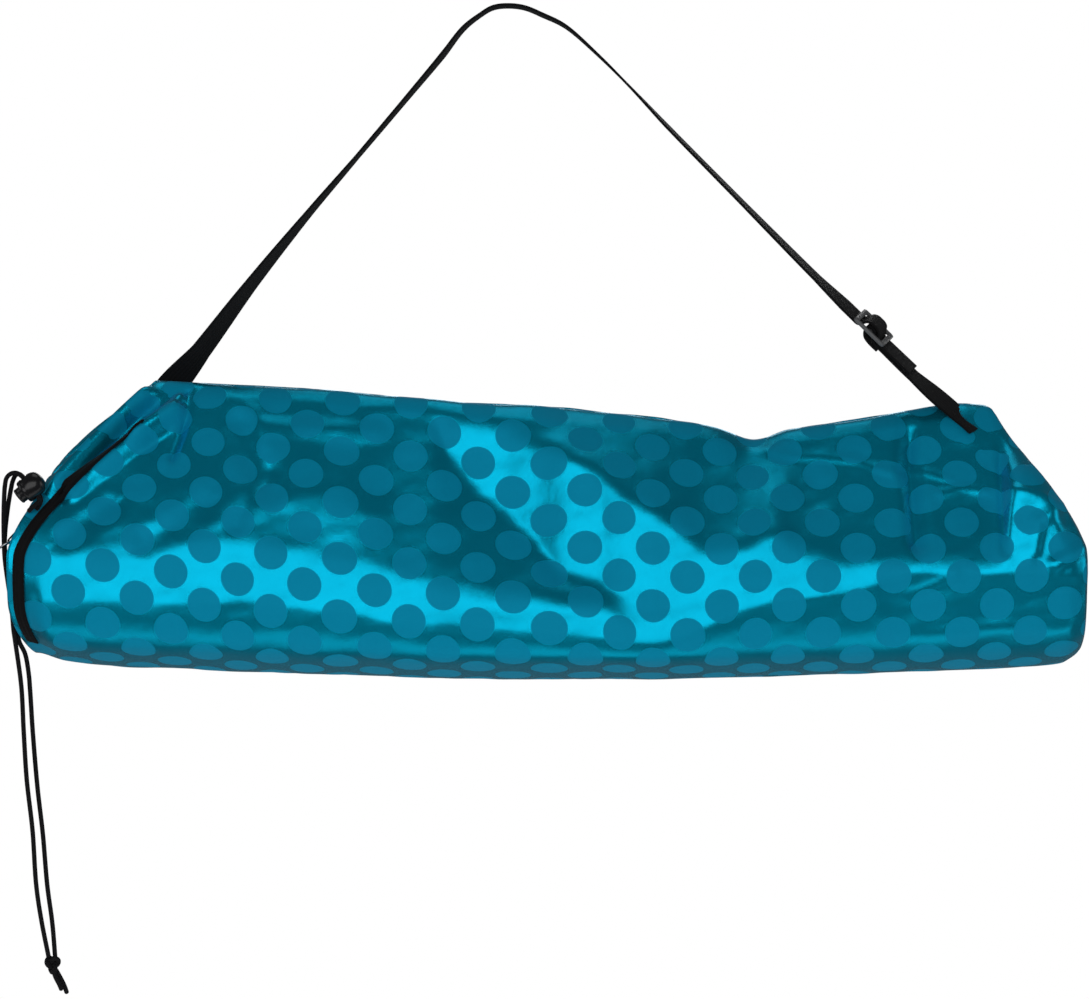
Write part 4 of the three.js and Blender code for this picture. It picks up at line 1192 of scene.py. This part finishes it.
surfaceTree = BVHTree.FromPolygons(
    [tuple(v.co) for v in bagCloth3d.data.vertices], [tuple(p.vertices) for p in bagCloth3d.data.polygons])


def onCloth(side, x, z, lift):                 # a place on the bag's front or back, seen level
    hit, normal, _, _ = surfaceTree.ray_cast(Vector((x, side, z)), Vector((0, -side, 0)))
    if normal.y * side < 0:
        normal = -normal
    return hit + normal * lift, normal


leftTop = onCloth(1, backFootX + 5 * mm, bagTop - 9 * mm, strap["seat"])
leftEnd = onCloth(1, backFootX - 3 * mm, bagTop - 28.2 * mm, strap["seat"])
rightTop = onCloth(-1, frontFootX - 45 * mm, bagTop - 21 * mm, strap["seat"])
rightEnd = onCloth(-1, frontFootX - 34 * mm, bagTop - 32 * mm, strap["seat"])


def legStops(rows, foot):
    end = foot[0]
    side = 1 if end.x > 0 else -1
    half = strap["thick"] / 2
    stops = []
    for out, down, turn in rows[:-1]:
        slope = Vector((side if down > 0.04 else side * down * 25, 0, 1)).normalized()
        turn = math.radians(turn)
        stops.append((Vector((end.x * out, end.y * out ** 2, half + (end.z - half) * down)),
                      (slope * math.cos(turn) - Vector((0, side * math.sin(turn), 0))).normalized()))
    return stops + [foot]


def framesAlong(stops, steps):
    line, _ = curveThrough([point for point, _ in stops], 4 * steps + 1)
    marks = [int(np.argmin(np.linalg.norm(line - np.array(point), axis=1))) for point, _ in stops]
    outs = [np.interp(np.arange(len(line)), marks, [out[a] for _, out in stops]) for a in range(3)]
    return line[::4], np.stack(outs, axis=1)[::4]


rightStops = legStops(rightLeg, rightTop)


def sliderPlace():
    start, finish = rightStops[-2][0], rightStops[-1][0]
    ahead = (finish - start).normalized()
    turn = math.radians(float(readRows(np.array(rightLeg)[:, [1, 2]], 1, strap["sliderPlace"])))
    rough = Vector((1, 0, 1)).normalized() * math.cos(turn) - Vector((0, math.sin(turn), 0))
    across = ahead.cross(rough).normalized()
    out = across.cross(ahead).normalized()
    share = (strap["sliderPlace"] - rightLeg[-2][1]) / (1 - rightLeg[-2][1])
    layer = (strap["sliderThick"] + strap["thick"]) / 2 + strap["gap"]
    return start.lerp(finish, share) + out * layer, ahead, across, out, layer


sliderMiddle, sliderAhead, sliderAcross, sliderOut, sliderLayer = sliderPlace()


def atSlider(on, off):
    return sliderMiddle + sliderAhead * (on * strap["sliderLength"]) + sliderOut * (off * sliderLayer)


def ribbon(name, line, outs, material, replaced, pinch=0.0):
    walked = walkedLengths(line)
    ahead = directions(line)
    across = np.cross(ahead, outs)
    across /= np.linalg.norm(across, axis=1)[:, None]
    out = np.cross(across, ahead)

    def strip(over, along):
        k = np.rint(along * (len(line) - 1)).astype(int)
        gathered = easeIn(1 - (walked[-1] - walked[k]) / strap["pinchLength"]) * pinch
        reach = (over - 0.5) * strap["width"] * (1 - gathered)
        point = line[k] + across[k] * reach[:, None] + out[k] * (strap["thick"] / 2)
        return point, np.stack([walked[k], (over - 0.5) * strap["width"]], axis=1)

    piece = gridPiece(name, (12, len(line) - 1), strip, material)
    addModifier(piece, "SOLIDIFY", thickness=strap["thick"], offset=-1)
    addModifier(piece, "BEVEL", width=0.5 * mm, segments=3, limit_method="ANGLE")
    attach(piece, "root")
    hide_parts(replaced)
    return piece


def threadLine(stops, count):
    line, _ = curveThrough(stops, count)
    ahead = directions(line)
    across = np.array(sliderAcross)
    return line, np.cross(across, ahead)


def boxStitch(name, line, outs, margin, share):    # a sewn box with a cross, at the line's far end
    long, wide = strap["sewn"]
    corners = [(0, -1), (0, 1), (1, 1), (1, -1), (0, -1), (1, 1), (1, -1), (0, 1)]
    walked = walkedLengths(line)
    ahead = np.gradient(line, axis=0)
    across = np.cross(ahead, outs)
    across /= np.linalg.norm(across, axis=1)[:, None]
    out = np.cross(across, ahead)
    out /= np.linalg.norm(out, axis=1)[:, None]
    route, ways = [], []
    for (along1, side1), (along2, side2) in zip(corners, corners[1:]):
        for t in np.linspace(0, 1, 12)[:-1]:
            at = walked[-1] - margin - (along1 + (along2 - along1) * t) * long
            side = (side1 + (side2 - side1) * t) * wide / 2 * share
            here = [np.interp(at, walked, line[:, a]) for a in range(3)]
            over = np.array([np.interp(at, walked, across[:, a]) for a in range(3)])
            up = np.array([np.interp(at, walked, out[:, a]) for a in range(3)])
            route.append(here + over * side + up * (strap["thick"] / 2 + 0.15 * mm))
            ways.append(up)
    thread = stitches(name, np.array(route), np.array(ways), threadFinish, strap["stitch"])
    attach(thread, "root")


def makeStrap():
    left = [leftEnd] + legStops(leftLeg, leftTop)[::-1]
    leg, legOut = framesAlong(left + rightStops[1:-1] + [(atSlider(*longThread[0]), sliderOut)], 300)
    thread = [atSlider(*row) for row in longThread]
    thread.append(atSlider(0.5 + strap["tail"] / strap["sliderLength"], -0.92))
    tail, tailOut = threadLine(thread, 150)
    ribbon("shoulder_strap", np.concatenate([leg, tail[1:]]), np.concatenate([legOut, tailOut[1:]]),
           webbingFinish, "strap_long")
    loop, loopOut = threadLine([atSlider(*row) for row in anchorThread], 120)
    out = (rightTop[1] + rightEnd[1] + sliderOut * 2).normalized()
    raised = [(rightTop[0], out), (rightEnd[0], out)]
    foot, footOut = framesAlong([(Vector(loop[-1]), Vector(loopOut[-1])), (atSlider(1.55, -1.95), sliderOut),
                                 *raised], 60)
    ribbon("strap_anchor_web", np.concatenate([loop, foot[1:]]), np.concatenate([loopOut, footOut[1:]]),
           webbingFinish, "strap_anchor", pinch=0.4)
    boxStitch("anchor_stitches", foot, footOut, 4 * mm, 0.6)
    boxStitch("strap_stitches", leg[::-1], legOut[::-1], 3 * mm, 1)


def makeSlider():
    wide = strap["width"] + 2 * (strap["sliderSlack"] + strap["sliderRail"])
    bar, rail, length = strap["sliderBar"], strap["sliderRail"], strap["sliderLength"]
    mesh = bmesh.new()
    bmesh.ops.create_grid(mesh, x_segments=5, y_segments=3, size=0.5)
    cutsX = [-length / 2, -length / 2 + bar, -bar / 2, bar / 2, length / 2 - bar, length / 2]
    cutsY = [-wide / 2, -wide / 2 + rail, wide / 2 - rail, wide / 2]
    for v in mesh.verts:
        v.co = (cutsX[round((v.co.x + 0.5) * 5)], cutsY[round((v.co.y + 0.5) * 3)], 0)
    slots = [f for f in mesh.faces if abs(f.calc_center_median().y) < wide / 2 - rail
             and abs(abs(f.calc_center_median().x) - (length / 4)) < length / 8]
    bmesh.ops.delete(mesh, geom=slots, context="FACES_ONLY")
    grown = bmesh.ops.extrude_face_region(mesh, geom=mesh.faces[:])
    lifted = [v for v in grown["geom"] if isinstance(v, bmesh.types.BMVert)]
    bmesh.ops.translate(mesh, verts=lifted, vec=(0, 0, strap["sliderThick"]))
    bmesh.ops.translate(mesh, verts=mesh.verts, vec=(0, 0, -strap["sliderThick"] / 2))
    bmesh.ops.recalc_face_normals(mesh, faces=mesh.faces)
    corners = [e for e in mesh.edges if abs(e.verts[0].co.z - e.verts[1].co.z) > 1e-4 and e.is_manifold
               and max(abs(v.co.x) for v in e.verts) > length / 2 - 1e-5
               and max(abs(v.co.y) for v in e.verts) > wide / 2 - 1e-5]
    bmesh.ops.bevel(mesh, geom=corners, offset=2.6 * mm, segments=5, profile=0.5, affect="EDGES", material=-1)
    sharp = [e for e in mesh.edges if e.is_manifold and e.calc_face_angle(0) > 0.6]
    bmesh.ops.bevel(mesh, geom=sharp, offset=0.75 * mm, segments=3, profile=0.5, affect="EDGES", material=-1)
    turn = Matrix((sliderAhead, sliderAcross, sliderOut)).transposed().to_4x4()
    bmesh.ops.transform(mesh, matrix=Matrix.Translation(sliderMiddle) @ turn, verts=mesh.verts)
    bmesh.ops.recalc_face_normals(mesh, faces=mesh.faces)
    piece = fromMesh("slider_plate", mesh, sliderFinish)
    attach(piece, "root")
    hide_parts("strap_slider")


makeStrap()
makeSlider()
print("strap and slider")


def makeFloor():
    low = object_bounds()[0][2]
    mesh = bmesh.new()
    bmesh.ops.create_grid(mesh, x_segments=2, y_segments=2, size=studio["floorRadius"])
    bmesh.ops.translate(mesh, verts=mesh.verts, vec=(0, 0, low - studio["floorDrop"]))
    floor = fromMesh("floor", mesh, paleFloor(), smooth=False)
    floor.visible_glossy = False               # the cloth would mirror it


makeFloor()
